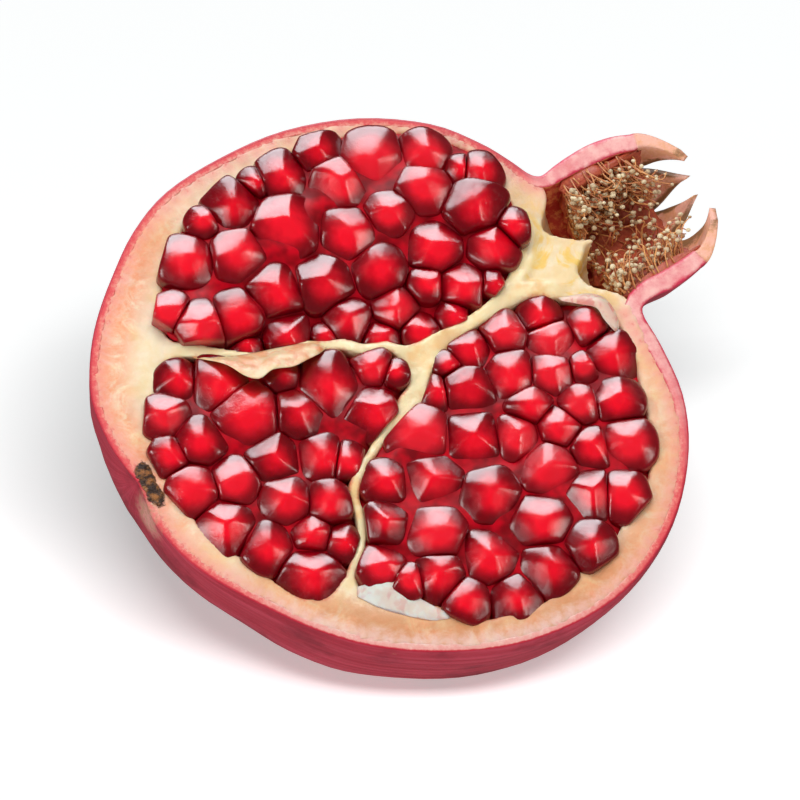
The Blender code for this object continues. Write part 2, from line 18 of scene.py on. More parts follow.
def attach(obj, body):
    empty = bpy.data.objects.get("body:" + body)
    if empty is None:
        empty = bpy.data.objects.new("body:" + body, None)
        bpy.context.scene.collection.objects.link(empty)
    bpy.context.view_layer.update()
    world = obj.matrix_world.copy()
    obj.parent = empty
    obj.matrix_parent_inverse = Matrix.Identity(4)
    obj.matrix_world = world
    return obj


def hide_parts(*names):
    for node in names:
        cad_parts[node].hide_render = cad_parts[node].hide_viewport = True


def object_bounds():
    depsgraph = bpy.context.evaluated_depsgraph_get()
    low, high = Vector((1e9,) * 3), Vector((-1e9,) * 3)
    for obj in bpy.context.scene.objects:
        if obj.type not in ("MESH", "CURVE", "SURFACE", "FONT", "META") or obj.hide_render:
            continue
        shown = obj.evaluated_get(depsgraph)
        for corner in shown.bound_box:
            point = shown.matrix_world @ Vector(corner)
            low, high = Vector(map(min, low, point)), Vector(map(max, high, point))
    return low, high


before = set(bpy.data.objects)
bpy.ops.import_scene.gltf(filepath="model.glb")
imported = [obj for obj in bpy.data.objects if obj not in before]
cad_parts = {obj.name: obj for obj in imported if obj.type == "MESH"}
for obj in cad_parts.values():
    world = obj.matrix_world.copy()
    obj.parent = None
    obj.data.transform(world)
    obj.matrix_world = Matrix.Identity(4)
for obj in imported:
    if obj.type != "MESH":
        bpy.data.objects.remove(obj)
CAD_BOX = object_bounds()

MM = 0.001
ROOT = "root"
LOG = logging.getLogger("pomegranate")


@dataclass(frozen=True)
class CutFace:
    """The plane that the fruit is cut along."""

    middle: tuple[float, float, float] = (-3.6, -4.5, 44.9)
    tilt: float = math.radians(52)

    def axes(self) -> np.ndarray:
        """Directions across, up and out of the cut face, as rows."""
        sine, cosine = math.sin(self.tilt), math.cos(self.tilt)
        return np.array(((1.0, 0.0, 0.0), (0.0, sine, cosine), (0.0, -cosine, sine)))

    def carry(self, points: np.ndarray) -> np.ndarray:
        """Carry points of the cut face into the frame.

        Args:
            points: Points as (u, v, n) in millimetres, in an array whose last axis has length 3.

        Returns:
            The same points in the frame, in metres.
        """
        return (points @ self.axes() + np.array(self.middle)) * MM

    def bring(self, points: np.ndarray) -> np.ndarray:
        """Bring points of the frame, in metres, to the cut face as (u, v, n) in millimetres."""
        return (points / MM - np.array(self.middle)) @ self.axes().T


FACE = CutFace()


def spline(points: np.ndarray, steps: int, closed: bool = False) -> np.ndarray:
    """Read a smooth curve through points.

    Args:
        points: The points, along the first axis.
        steps: Steps of the curve between each two points.
        closed: Whether the curve returns to its first point.

    Returns:
        The points of the curve, without a repeated first point if it is closed.
    """
    if closed:
        padded = np.concatenate((points[-1:], points, points[:2]))
    else:
        padded = np.concatenate((2 * points[:1] - points[1:2], points, 2 * points[-1:] - points[-2:-1]))
    a, b, c, d = padded[:-3], padded[1:-2], padded[2:-1], padded[3:]
    parts = []
    for step in range(steps):
        t = step / steps
        parts.append(0.5 * (2 * b + (c - a) * t + (2 * a - 5 * b + 4 * c - d) * t ** 2
                            + (3 * b - a - 3 * c + d) * t ** 3))
    curve = np.stack(parts, axis=1).reshape(-1, *points.shape[1:])
    return curve if closed else np.concatenate((curve, points[-1:]))


def smooth_step(low: float, high: float, value: np.ndarray) -> np.ndarray:
    """Go smoothly from 0 at low to 1 at high, which may be the smaller."""
    share = np.clip((value - low) / (high - low), 0.0, 1.0)
    return share * share * (3 - 2 * share)


def lumps(points: np.ndarray, size: float, seed: float = 0.0) -> np.ndarray:
    """Smooth noise from about -1 to 1 at points in millimetres, with lumps of the given size."""
    shift = Vector((seed, seed * 1.7, -seed))
    flat = points.reshape(-1, 3) / size
    values = np.array([noise.noise(Vector(point) + shift) for point in flat])
    return values.reshape(points.shape[:-1])


def deselect() -> None:
    """Leave nothing selected."""
    if bpy.context.object is not None and bpy.context.object.mode != "OBJECT":
        bpy.ops.object.mode_set(mode="OBJECT")
    bpy.ops.object.select_all(action="DESELECT")


def clean(piece: bpy.types.Object, merge: float = 0.004) -> None:
    """Close the seams and poles of a piece, and point its faces outwards.

    Args:
        piece: The piece.
        merge: Distance under which points become one, in millimetres.
    """
    deselect()
    bpy.context.view_layer.objects.active = piece
    piece.select_set(True)
    bpy.ops.object.mode_set(mode="EDIT")
    bpy.ops.mesh.select_all(action="SELECT")
    bpy.ops.mesh.remove_doubles(threshold=merge * MM)
    bpy.ops.mesh.normals_make_consistent(inside=False)
    bpy.ops.object.mode_set(mode="OBJECT")
    bpy.ops.object.shade_smooth()


def store(piece: bpy.types.Object, name: str, values: np.ndarray) -> None:
    """Keep one number for each point of a piece, for its material to read."""
    layer = piece.data.attributes.new(name, "FLOAT", "POINT")
    layer.data.foreach_set("value", np.ascontiguousarray(values, dtype=np.float32).reshape(-1))


def woven(name: str, points: np.ndarray, values: dict[str, np.ndarray], merge: float = 0.004) -> bpy.types.Object:
    """Shape a grid into a lofted piece.

    Args:
        name: The piece's name.
        points: Rows of points in the frame, in metres.
        values: Numbers to keep at each point, by name.
        merge: Distance under which points become one, in millimetres.

    Returns:
        The piece, closed where its rows or columns meet.
    """
    deselect()
    rows, columns = points.shape[:2]
    bpy.ops.mesh.primitive_grid_add(x_subdivisions=columns - 1, y_subdivisions=rows - 1, size=2.0)
    piece = bpy.context.object
    piece.name = name
    piece.data.name = name
    start = np.empty(rows * columns * 3)
    piece.data.vertices.foreach_get("co", start)
    start = start.reshape(-1, 3)
    column = np.rint((start[:, 0] + 1) / 2 * (columns - 1)).astype(int)
    row = np.rint((start[:, 1] + 1) / 2 * (rows - 1)).astype(int)
    piece.data.vertices.foreach_set("co", points[row, column].reshape(-1))
    for key, numbers in values.items():
        store(piece, key, numbers[row, column])
    clean(piece, merge)
    return piece


def modify(piece: bpy.types.Object, kind: str, **settings: object) -> None:
    """Add a modifier to a piece and apply it."""
    deselect()
    bpy.context.view_layer.objects.active = piece
    piece.select_set(True)
    modifier = piece.modifiers.new(kind.lower(), kind)
    for key, value in settings.items():
        setattr(modifier, key, value)
    bpy.ops.object.modifier_apply(modifier=modifier.name)


def join(pieces: list[bpy.types.Object], name: str) -> bpy.types.Object:
    """Join pieces into one object with a new name."""
    deselect()
    for piece in pieces:
        piece.select_set(True)
    bpy.context.view_layer.objects.active = pieces[0]
    bpy.ops.object.join()
    pieces[0].name = name
    pieces[0].data.name = name
    return pieces[0]


def places(piece: bpy.types.Object) -> np.ndarray:
    """Points of a piece, in metres."""
    points = np.empty(len(piece.data.vertices) * 3)
    piece.data.vertices.foreach_get("co", points)
    return points.reshape(-1, 3)


def dress(piece: bpy.types.Object, material: bpy.types.Material, node: str) -> None:
    """Keep a piece within the solids' box, give it its material, hang it on the root body and hide the solid it stands
    for.
    """
    low, high = (np.array(corner) for corner in CAD_BOX)
    piece.data.vertices.foreach_set("co", np.clip(places(piece), low, high).reshape(-1))
    piece.data.update()
    piece.data.materials.clear()
    piece.data.materials.append(material)
    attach(piece, ROOT)
    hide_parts(node)
    LOG.info("%s: %d faces, for %s", piece.name, len(piece.data.polygons), node)


class Value:
    """A shader socket that takes part in sums."""

    def __init__(self, shader: "Shader", socket: bpy.types.NodeSocket) -> None:
        """Wrap a socket of a shader."""
        self.shader = shader
        self.socket = socket

    def _sum(self, operation: str, first: object, second: object, clamp: bool = False) -> "Value":
        """Add a Math node for two values or numbers."""
        return self.shader.add("ShaderNodeMath", {"operation": operation, "use_clamp": clamp},
                               {0: first, 1: second})

    def __add__(self, other: object) -> "Value":
        """Sum with a value or number."""
        return self._sum("ADD", self, other)

    __radd__ = __add__

    def __sub__(self, other: object) -> "Value":
        """Difference with a value or number."""
        return self._sum("SUBTRACT", self, other)

    def __rsub__(self, other: object) -> "Value":
        """Difference of a number with this value."""
        return self._sum("SUBTRACT", other, self)

    def __mul__(self, other: object) -> "Value":
        """Product with a value or number."""
        return self._sum("MULTIPLY", self, other)

    __rmul__ = __mul__

    def __truediv__(self, other: object) -> "Value":
        """Quotient with a value or number."""
        return self._sum("DIVIDE", self, other)

    def __pow__(self, other: object) -> "Value":
        """Power of this value."""
        return self._sum("POWER", self, other)

    def clamped(self) -> "Value":
        """This value kept from 0 to 1."""
        return self._sum("ADD", self, 0.0, clamp=True)

    def rise(self, low: float, high: float) -> "Value":
        """Smooth rise from 0 at low to 1 at high."""
        return self.shader.add("ShaderNodeMapRange", {"interpolation_type": "SMOOTHSTEP"},
                               {"Value": self, "From Min": low, "From Max": high})


class Shader:
    """One Principled material, built node by node."""

    def __init__(self, name: str) -> None:
        """Make an empty material with its Principled shader."""
        self.material = bpy.data.materials.new(name)
        self.material.use_nodes = True
        self.tree = self.material.node_tree
        self.main = self.tree.nodes["Principled BSDF"]

    def add(self, kind: str, settings: dict[str, object], inputs: dict[object, object],
            output: object = 0) -> Value:
        """Add a node.

        Args:
            kind: The node's type.
            settings: The node's own settings, which are set first.
            inputs: Values, numbers or colours for its sockets, by name or index.
            output: The output socket to return, by name or index.

        Returns:
            The output socket.
        """
        node = self.tree.nodes.new(kind)
        for key, value in settings.items():
            setattr(node, key, value)
        for key, value in inputs.items():
            self.feed(node.inputs[key], value)
        return Value(self, node.outputs[output])

    def feed(self, socket: bpy.types.NodeSocket, value: object) -> None:
        """Link a value to a socket, or set a number or colour on it."""
        if isinstance(value, Value):
            self.tree.links.new(value.socket, socket)
        elif isinstance(value, tuple) and len(value) == 3 and socket.type == "RGBA":
            socket.default_value = (*value, 1.0)
        else:
            socket.default_value = value

    def spot(self) -> Value:
        """Place on the piece, in metres."""
        return self.add("ShaderNodeTexCoord", {}, {}, "Object")

    def kept(self, name: str) -> Value:
        """Number kept at each point of the piece."""
        return self.add("ShaderNodeAttribute", {"attribute_name": name}, {}, "Fac")

    def grain(self, size: float, detail: float = 3.0, rough: float = 0.55, spot: Value | None = None,
              twist: float = 0.0) -> Value:
        """Noise from 0 to 1, with lumps of a size in millimetres."""
        return self.add("ShaderNodeTexNoise", {}, {
            "Vector": spot or self.spot(), "Scale": 1 / (size * MM), "Detail": detail, "Roughness": rough,
            "Distortion": twist,
        })

    def stretched(self, sizes: tuple[float, float, float]) -> Value:
        """The piece's own map, scaled."""
        uv = self.add("ShaderNodeTexCoord", {}, {}, "UV")
        return self.add("ShaderNodeMapping", {}, {"Vector": uv, "Scale": sizes})

    def blend(self, share: object, first: object, second: object, kind: str = "MIX") -> Value:
        """Mix two colours."""
        return self.add("ShaderNodeMix", {"data_type": "RGBA", "blend_type": kind},
                        {0: share, 6: first, 7: second}, 2)

    def relief(self, height: Value, strength: float, depth: float, under: Value | None = None) -> Value:
        """Bump from a height, with its depth in millimetres."""
        inputs = {"Height": height, "Strength": strength, "Distance": depth * MM}
        if under is not None:
            inputs["Normal"] = under
        return self.add("ShaderNodeBump", {}, inputs)

    def near(self, point: np.ndarray, low: float, high: float) -> Value:
        """Falls from 1 to 0 with the distance from a point of the frame, in millimetres."""
        apart = self.add("ShaderNodeVectorMath", {"operation": "DISTANCE"},
                         {0: self.spot(), 1: tuple(float(x) for x in point)}, "Value")
        return 1 - apart.rise(low * MM, high * MM)

    def finish(self, **inputs: object) -> bpy.types.Material:
        """Feed the Principled shader.

        Args:
            inputs: Values for its sockets, with underscores for spaces.

        Returns:
            The finished material.
        """
        for key, value in inputs.items():
            self.feed(self.main.inputs[key.replace("_", " ")], value)
        return self.material


@dataclass(frozen=True)
class SeedFinish:
    """Juicy seed: a ruby body with a painted glow where light would pass through it, painted shade towards its edges,
    and a wet faceted skin.
    """

    # The bright red is painted light: the glow at the middle of each seed's top.
    painted_glow_red: tuple[float, float, float] = (0.94, 0.004, 0.022)
    deep: tuple[float, float, float] = (0.28, 0.0, 0.006)
    # The edge colour is painted shade, laid towards each seed's outline.
    edge: tuple[float, float, float] = (0.13, 0.0, 0.003)
    blush: tuple[float, float, float] = (0.66, 0.05, 0.07)

    def make(self) -> bpy.types.Material:
        """Build the material."""
        shader = Shader("seed_flesh")
        # glow is painted light, a bright patch on each seed's top, mixed here with random cloud and tone.
        glow = shader.kept("glow")
        tone = shader.kept("tone")
        cloud = shader.grain(2.4, 2.0)
        painted_light_and_tone = (glow * 1.15 + (cloud - 0.5) * 0.9 + (tone - 0.5) * 0.7).clamped()
        colour = shader.blend(painted_light_and_tone, self.deep, self.painted_glow_red)
        colour = shader.blend((tone * 2.0 - 1.3).clamped() * 0.3, colour, self.blush)
        # Painted shade: darker towards each seed's outline.
        colour = shader.blend(shader.kept("edge") * 0.75, colour, self.edge)
        pits = shader.grain(0.22, 3.0, 0.7)
        frost = shader.grain(1.2, 5.0, 0.65)
        normal = shader.relief(pits, 0.45, 0.05)
        normal = shader.relief(frost, 0.40, 0.16, normal)
        return shader.finish(
            Base_Color=colour, Roughness=0.09 + frost.rise(0.35, 0.65) * 0.16, Normal=normal,
            IOR=1.45, Specular_IOR_Level=0.75,
            Subsurface_Weight=0.35, Subsurface_Radius=(1.0, 0.06, 0.05), Subsurface_Scale=0.0022,
            Coat_Weight=0.30, Coat_Roughness=0.05, Coat_IOR=1.4,
        )


@dataclass(frozen=True)
class WebFinish:
    """Wet red flesh in the gaps between the seeds."""

    colour: tuple[float, float, float] = (0.60, 0.0, 0.012)
    dark: tuple[float, float, float] = (0.20, 0.0, 0.004)

    def make(self) -> bpy.types.Material:
        """Build the material."""
        shader = Shader("seed_web")
        cloud = shader.grain(3.0, 2.0)
        return shader.finish(
            Base_Color=shader.blend(cloud.rise(0.3, 0.7), self.dark, self.colour), Roughness=0.5,
            Specular_IOR_Level=0.15, Subsurface_Weight=0.3, Subsurface_Radius=(1.0, 0.06, 0.05),
            Subsurface_Scale=0.002,
        )


@dataclass(frozen=True)
class CutFlesh:
    """The pale flesh on the cut: red and speckled by the skin, then peach and tan patches, then cream."""

    cream: tuple[float, float, float] = (0.90, 0.70, 0.38)
    pale: tuple[float, float, float] = (0.94, 0.82, 0.60)
    peach: tuple[float, float, float] = (0.90, 0.36, 0.19)
    tan: tuple[float, float, float] = (0.64, 0.28, 0.11)
    yellow: tuple[float, float, float] = (0.92, 0.60, 0.11)
    red: tuple[float, float, float] = (0.74, 0.045, 0.060)
    pink: tuple[float, float, float] = (0.90, 0.30, 0.26)
    frost: tuple[float, float, float] = (0.92, 0.66, 0.62)
    skin: tuple[float, float, float] = (0.56, 0.015, 0.040)
    left: np.ndarray = field(default_factory=lambda: FACE.carry(np.array((-42.0, 6.0, 0.0))))
    low: np.ndarray = field(default_factory=lambda: FACE.carry(np.array((2.0, -41.0, 0.0))))
    right: np.ndarray = field(default_factory=lambda: FACE.carry(np.array((34.0, -28.0, 0.0))))
    neck: np.ndarray = field(default_factory=lambda: FACE.carry(np.array((36.0, 30.0, 0.0))))
    bud: np.ndarray = field(default_factory=lambda: FACE.carry(np.array((28.0, 19.0, 0.0))))

    def colour(self, shader: Shader, rim: Value) -> Value:
        """Colour of the flesh, from the distance to the rind's inner side in millimetres."""
        clouds = shader.grain(7.0, 4.0, 0.6)
        patches = shader.grain(4.5, 5.0, 0.66, twist=1.2)
        sponge = shader.grain(0.8, 5.0, 0.7)
        drift = (patches - 0.5) * 5.0 + (sponge - 0.5) * 3.0
        low = shader.near(self.low, 14.0, 40.0)
        colour = shader.blend(clouds.rise(0.36, 0.60), self.cream, self.pale)
        outer = 1 - (rim + drift).rise(2.8, 7.0)
        warm = (shader.near(self.left, 18.0, 38.0) + low * 0.9 + shader.near(self.right, 14.0, 44.0) * 0.7).clamped()
        mottled = patches.rise(0.30, 0.60) * 0.7 + sponge.rise(0.35, 0.65) * 0.3
        colour = shader.blend(mottled * outer * (0.35 + warm * 0.65), colour, self.peach)
        dry = (shader.near(self.right, 14.0, 30.0) * 0.35 + low * 1.2).clamped()
        colour = shader.blend((clouds.rise(0.34, 0.56) * 0.6 + 0.3) * outer * dry * 0.9, colour, self.tan)
        bud = shader.near(self.bud, 5.0, 15.0) * (patches + clouds).rise(0.88, 1.10)
        colour = shader.blend(bud * 0.9, colour, self.yellow)
        colour = shader.blend(shader.near(self.neck, 4.0, 13.0) * 0.5, colour, self.frost)
        flush = 1 - (rim + drift * 0.6).rise(-0.2, 2.6)
        colour = shader.blend(flush * 0.7, colour, shader.blend(low, self.pink, self.frost))
        speckle = 1 - (rim + (sponge - 0.5) * 3.4).rise(-1.0, 0.5)
        colour = shader.blend(speckle * (0.95 - low * 0.5), colour, self.red)
        line = 1 - (rim + (sponge - 0.5) * 0.5).rise(-1.15, -0.85)
        return shader.blend(line, colour, self.skin)


@dataclass(frozen=True)
class Scar:
    """The dry woody slit where the stalk sat, with pale scuffed skin below it."""

    slit: tuple[tuple[float, float], ...] = ((-39.3, -9.6), (-38.9, -11.0), (-38.5, -12.4), (-37.9, -13.8), (-37.3, -15.2))
    scuff: tuple[float, float, float] = (-40.0, -17.0, -2.5)
    dark: tuple[float, float, float] = (0.050, 0.020, 0.010)
    rust: tuple[float, float, float] = (0.54, 0.21, 0.05)
    olive: tuple[float, float, float] = (0.50, 0.36, 0.20)
    pale: tuple[float, float, float] = (0.86, 0.48, 0.38)

    def share(self, shader: Shader) -> Value:
        """How much of the woody slit there is at each point, from 0 to 1."""
        ragged = (shader.grain(1.3, 5.0, 0.7) - 0.5) * 1.3
        spots = [shader.near(FACE.carry(np.array((*spot, 0.0))), 0.2, 2.3) for spot in self.slit]
        return (sum(spots[1:], spots[0]) * 0.75 + ragged).rise(0.50, 0.66)

    def over(self, shader: Shader, colour: Value) -> Value:
        """Lay the slit and the scuffed skin over a colour."""
        grain = shader.grain(1.0, 4.0, 0.65)
        scuffed = shader.near(FACE.carry(np.array(self.scuff)), 0.5, 7.0) + (grain - 0.5) * 1.4
        scuffed = scuffed.rise(0.25, 0.95) * 0.6
        colour = shader.blend(scuffed, colour, shader.blend(grain.rise(0.42, 0.62), self.pale, self.olive))
        woody = shader.blend(shader.grain(1.1, 4.0, 0.6).rise(0.40, 0.66), self.dark, self.rust)
        return shader.blend(self.share(shader), colour, woody)


@dataclass(frozen=True)
class RindFinish:
    """Rind: streaked crimson skin, a pink cut wall, and a dry brown crown cup."""

    crimson: tuple[float, float, float] = (0.42, 0.012, 0.034)
    rose: tuple[float, float, float] = (0.56, 0.045, 0.085)
    dark: tuple[float, float, float] = (0.24, 0.010, 0.024)
    cup: tuple[float, float, float] = (0.52, 0.030, 0.026)
    rust: tuple[float, float, float] = (0.74, 0.22, 0.08)
    dusk: tuple[float, float, float] = (0.96, 0.50, 0.38)
    tan: tuple[float, float, float] = (0.84, 0.40, 0.19)
    husk: tuple[float, float, float] = (0.34, 0.17, 0.07)
    magenta: tuple[float, float, float] = (0.70, 0.020, 0.085)
    white: tuple[float, float, float] = (0.94, 0.52, 0.48)

    def make(self) -> bpy.types.Material:
        """Build the material."""
        shader = Shader("rind")
        layer = shader.kept("layer")
        lobe = shader.kept("lobe")
        tube = shader.kept("tube")
        edge = shader.kept("lobe_edge")
        streaks = shader.grain(1000.0, 5.0, 0.6, shader.stretched((160.0, 6.0, 1.0)))
        clouds = shader.grain(9.0, 4.0, 0.6)
        fine = shader.grain(0.5, 3.0)
        skin = shader.blend(streaks.rise(0.35, 0.68), self.crimson, self.rose)
        skin = shader.blend(clouds.rise(0.48, 0.72) * 0.7, skin, self.dark)
        skin = shader.blend(fine.rise(0.62, 0.75) * 0.35, skin, self.rose)
        mottle = shader.grain(2.6, 5.0, 0.7)
        husky = shader.blend(mottle.rise(0.42, 0.62) * 0.8, self.dusk, self.tan)
        dry = (edge * 1.15 + (mottle - 0.5) * 1.1).rise(0.72, 1.0)
        husky = shader.blend(dry, husky, self.husk)
        crown = (lobe + (mottle - 0.5) * 0.22).rise(0.02, 0.16)
        skin = shader.blend(crown * 0.9, skin, husky)
        wall = CutFlesh().colour(shader, shader.kept("rim"))
        band = shader.blend(mottle.rise(0.30, 0.70) * 0.55, self.white, self.magenta)
        sides = (layer - 0.5) * (layer - 0.5) * 4.0
        band = shader.blend((sides + (mottle - 0.5) * 1.6).rise(0.25, 1.0), band, self.magenta)
        wall = shader.blend(tube, wall, band)
        wall = shader.blend(crown, wall, husky)
        inside = shader.blend(shader.grain(1.3, 4.0, 0.65).rise(0.42, 0.62), self.cup, self.rust)
        inside = shader.blend(crown, inside, husky)
        colour = shader.blend(layer.rise(0.001, 0.01), skin, wall)
        colour = shader.blend(layer.rise(0.985, 0.995), colour, inside)
        colour = Scar().over(shader, colour)
        normal = shader.relief(streaks, 0.25, 0.12)
        normal = shader.relief(fine, 0.35, 0.10, normal)
        normal = shader.relief(mottle * crown, 0.8, 0.5, normal)
        normal = shader.relief(Scar().share(shader) * shader.grain(0.9, 4.0, 0.7), 1.0, 1.6, normal)
        return shader.finish(
            Base_Color=colour, Roughness=0.40 + fine * 0.2 + crown * 0.15, Normal=normal,
            Subsurface_Weight=0.06, Subsurface_Radius=(1.0, 0.3, 0.2), Subsurface_Scale=0.001,
            Specular_IOR_Level=0.4, Coat_Weight=0.06, Coat_Roughness=0.3,
        )


@dataclass(frozen=True)
class PithFinish:
    """Pith: spongy cut flesh, with waxy walls stained by the seeds, and painted shade down in the chamber hollows."""

    wax: tuple[float, float, float] = (0.95, 0.80, 0.48)
    glow: tuple[float, float, float] = (0.93, 0.48, 0.14)
    juice: tuple[float, float, float] = (0.62, 0.03, 0.02)
    # Dark red painted shade for the chamber hollows.
    painted_hollow_shade: tuple[float, float, float] = (0.26, 0.004, 0.012)

    def make(self) -> bpy.types.Material:
        """Build the material."""
        shader = Shader("pith")
        wall = shader.kept("wall")
        septum = shader.kept("septum")
        sponge = shader.grain(0.9, 4.0, 0.6)
        fine = shader.grain(0.4, 3.0)
        colour = CutFlesh().colour(shader, shader.kept("rim"))
        waxy = shader.blend(shader.grain(4.0, 3.0).rise(0.45, 0.68) * 0.6, self.wax, self.glow)
        colour = shader.blend(septum * 0.85, colour, waxy)
        stain = (1 - (wall + (sponge - 0.5) * 0.8).rise(0.0, 0.7)) * shader.grain(5.0, 3.0).rise(0.46, 0.62)
        colour = shader.blend(stain * 0.75, colour, self.juice)
        # Painted shade: dark red down in the chamber hollows, near their walls.
        colour = shader.blend(shader.kept("painted_hollow_shade"), colour, self.painted_hollow_shade)
        colour = Scar().over(shader, colour)
        normal = shader.relief(sponge, 0.5, 0.25)
        normal = shader.relief(fine, 0.3, 0.08, normal)
        normal = shader.relief(Scar().share(shader) * shader.grain(0.9, 4.0, 0.7), 1.0, 1.6, normal)
        return shader.finish(
            Base_Color=colour, Roughness=0.60 - septum * 0.28, Normal=normal,
            Subsurface_Weight=0.25, Subsurface_Radius=(1.0, 0.6, 0.35), Subsurface_Scale=0.0012,
            Specular_IOR_Level=0.4,
        )


@dataclass(frozen=True)
class SheetFinish:
    """Thin torn membrane, waxy and half clear."""

    name: str
    light: tuple[float, float, float]
    tint: tuple[float, float, float]
    stain: tuple[float, float, float]
    amount: float = 0.4

    def make(self) -> bpy.types.Material:
        """Build the material."""
        shader = Shader(self.name)
        clouds = shader.grain(3.0, 4.0, 0.6)
        fine = shader.grain(0.5, 3.0)
        colour = shader.blend(clouds.rise(0.38, 0.62), self.light, self.tint)
        colour = shader.blend(shader.grain(2.2, 3.0, twist=0.5).rise(0.5, 0.66) * self.amount, colour, self.stain)
        return shader.finish(
            Base_Color=colour, Roughness=0.36 + fine * 0.15, Specular_IOR_Level=0.4,
            Subsurface_Weight=0.5, Subsurface_Radius=(1.0, 0.45, 0.25), Subsurface_Scale=0.0016,
            Normal=shader.relief(fine, 0.3, 0.1),
        )


@dataclass(frozen=True)
class StamenFinish:
    """Dried filament or anther."""

    name: str
    light: tuple[float, float, float]
    dark: tuple[float, float, float]

    def make(self) -> bpy.types.Material:
        """Build the material."""
        shader = Shader(self.name)
        tone = shader.kept("tone")
        fine = shader.grain(0.4, 3.0)
        share = (tone * 0.8 + (fine - 0.5) * 1.2 + 0.1).clamped()
        return shader.finish(
            Base_Color=shader.blend(share, self.dark, self.light), Roughness=0.62,
            Normal=shader.relief(fine, 0.5, 0.06),
        )


@dataclass(frozen=True)
class FloorFinish:
    """Plain pale floor."""

    colour: tuple[float, float, float] = (0.85, 0.85, 0.85)
    lift: tuple[float, float, float] = (0.385, 0.40, 0.40)

    def make(self) -> bpy.types.Material:
        """Build the material."""
        return Shader("floor").finish(
            Base_Color=self.colour, Roughness=0.85, Specular_IOR_Level=0.1,
            Emission_Color=self.lift, Emission_Strength=1.0)


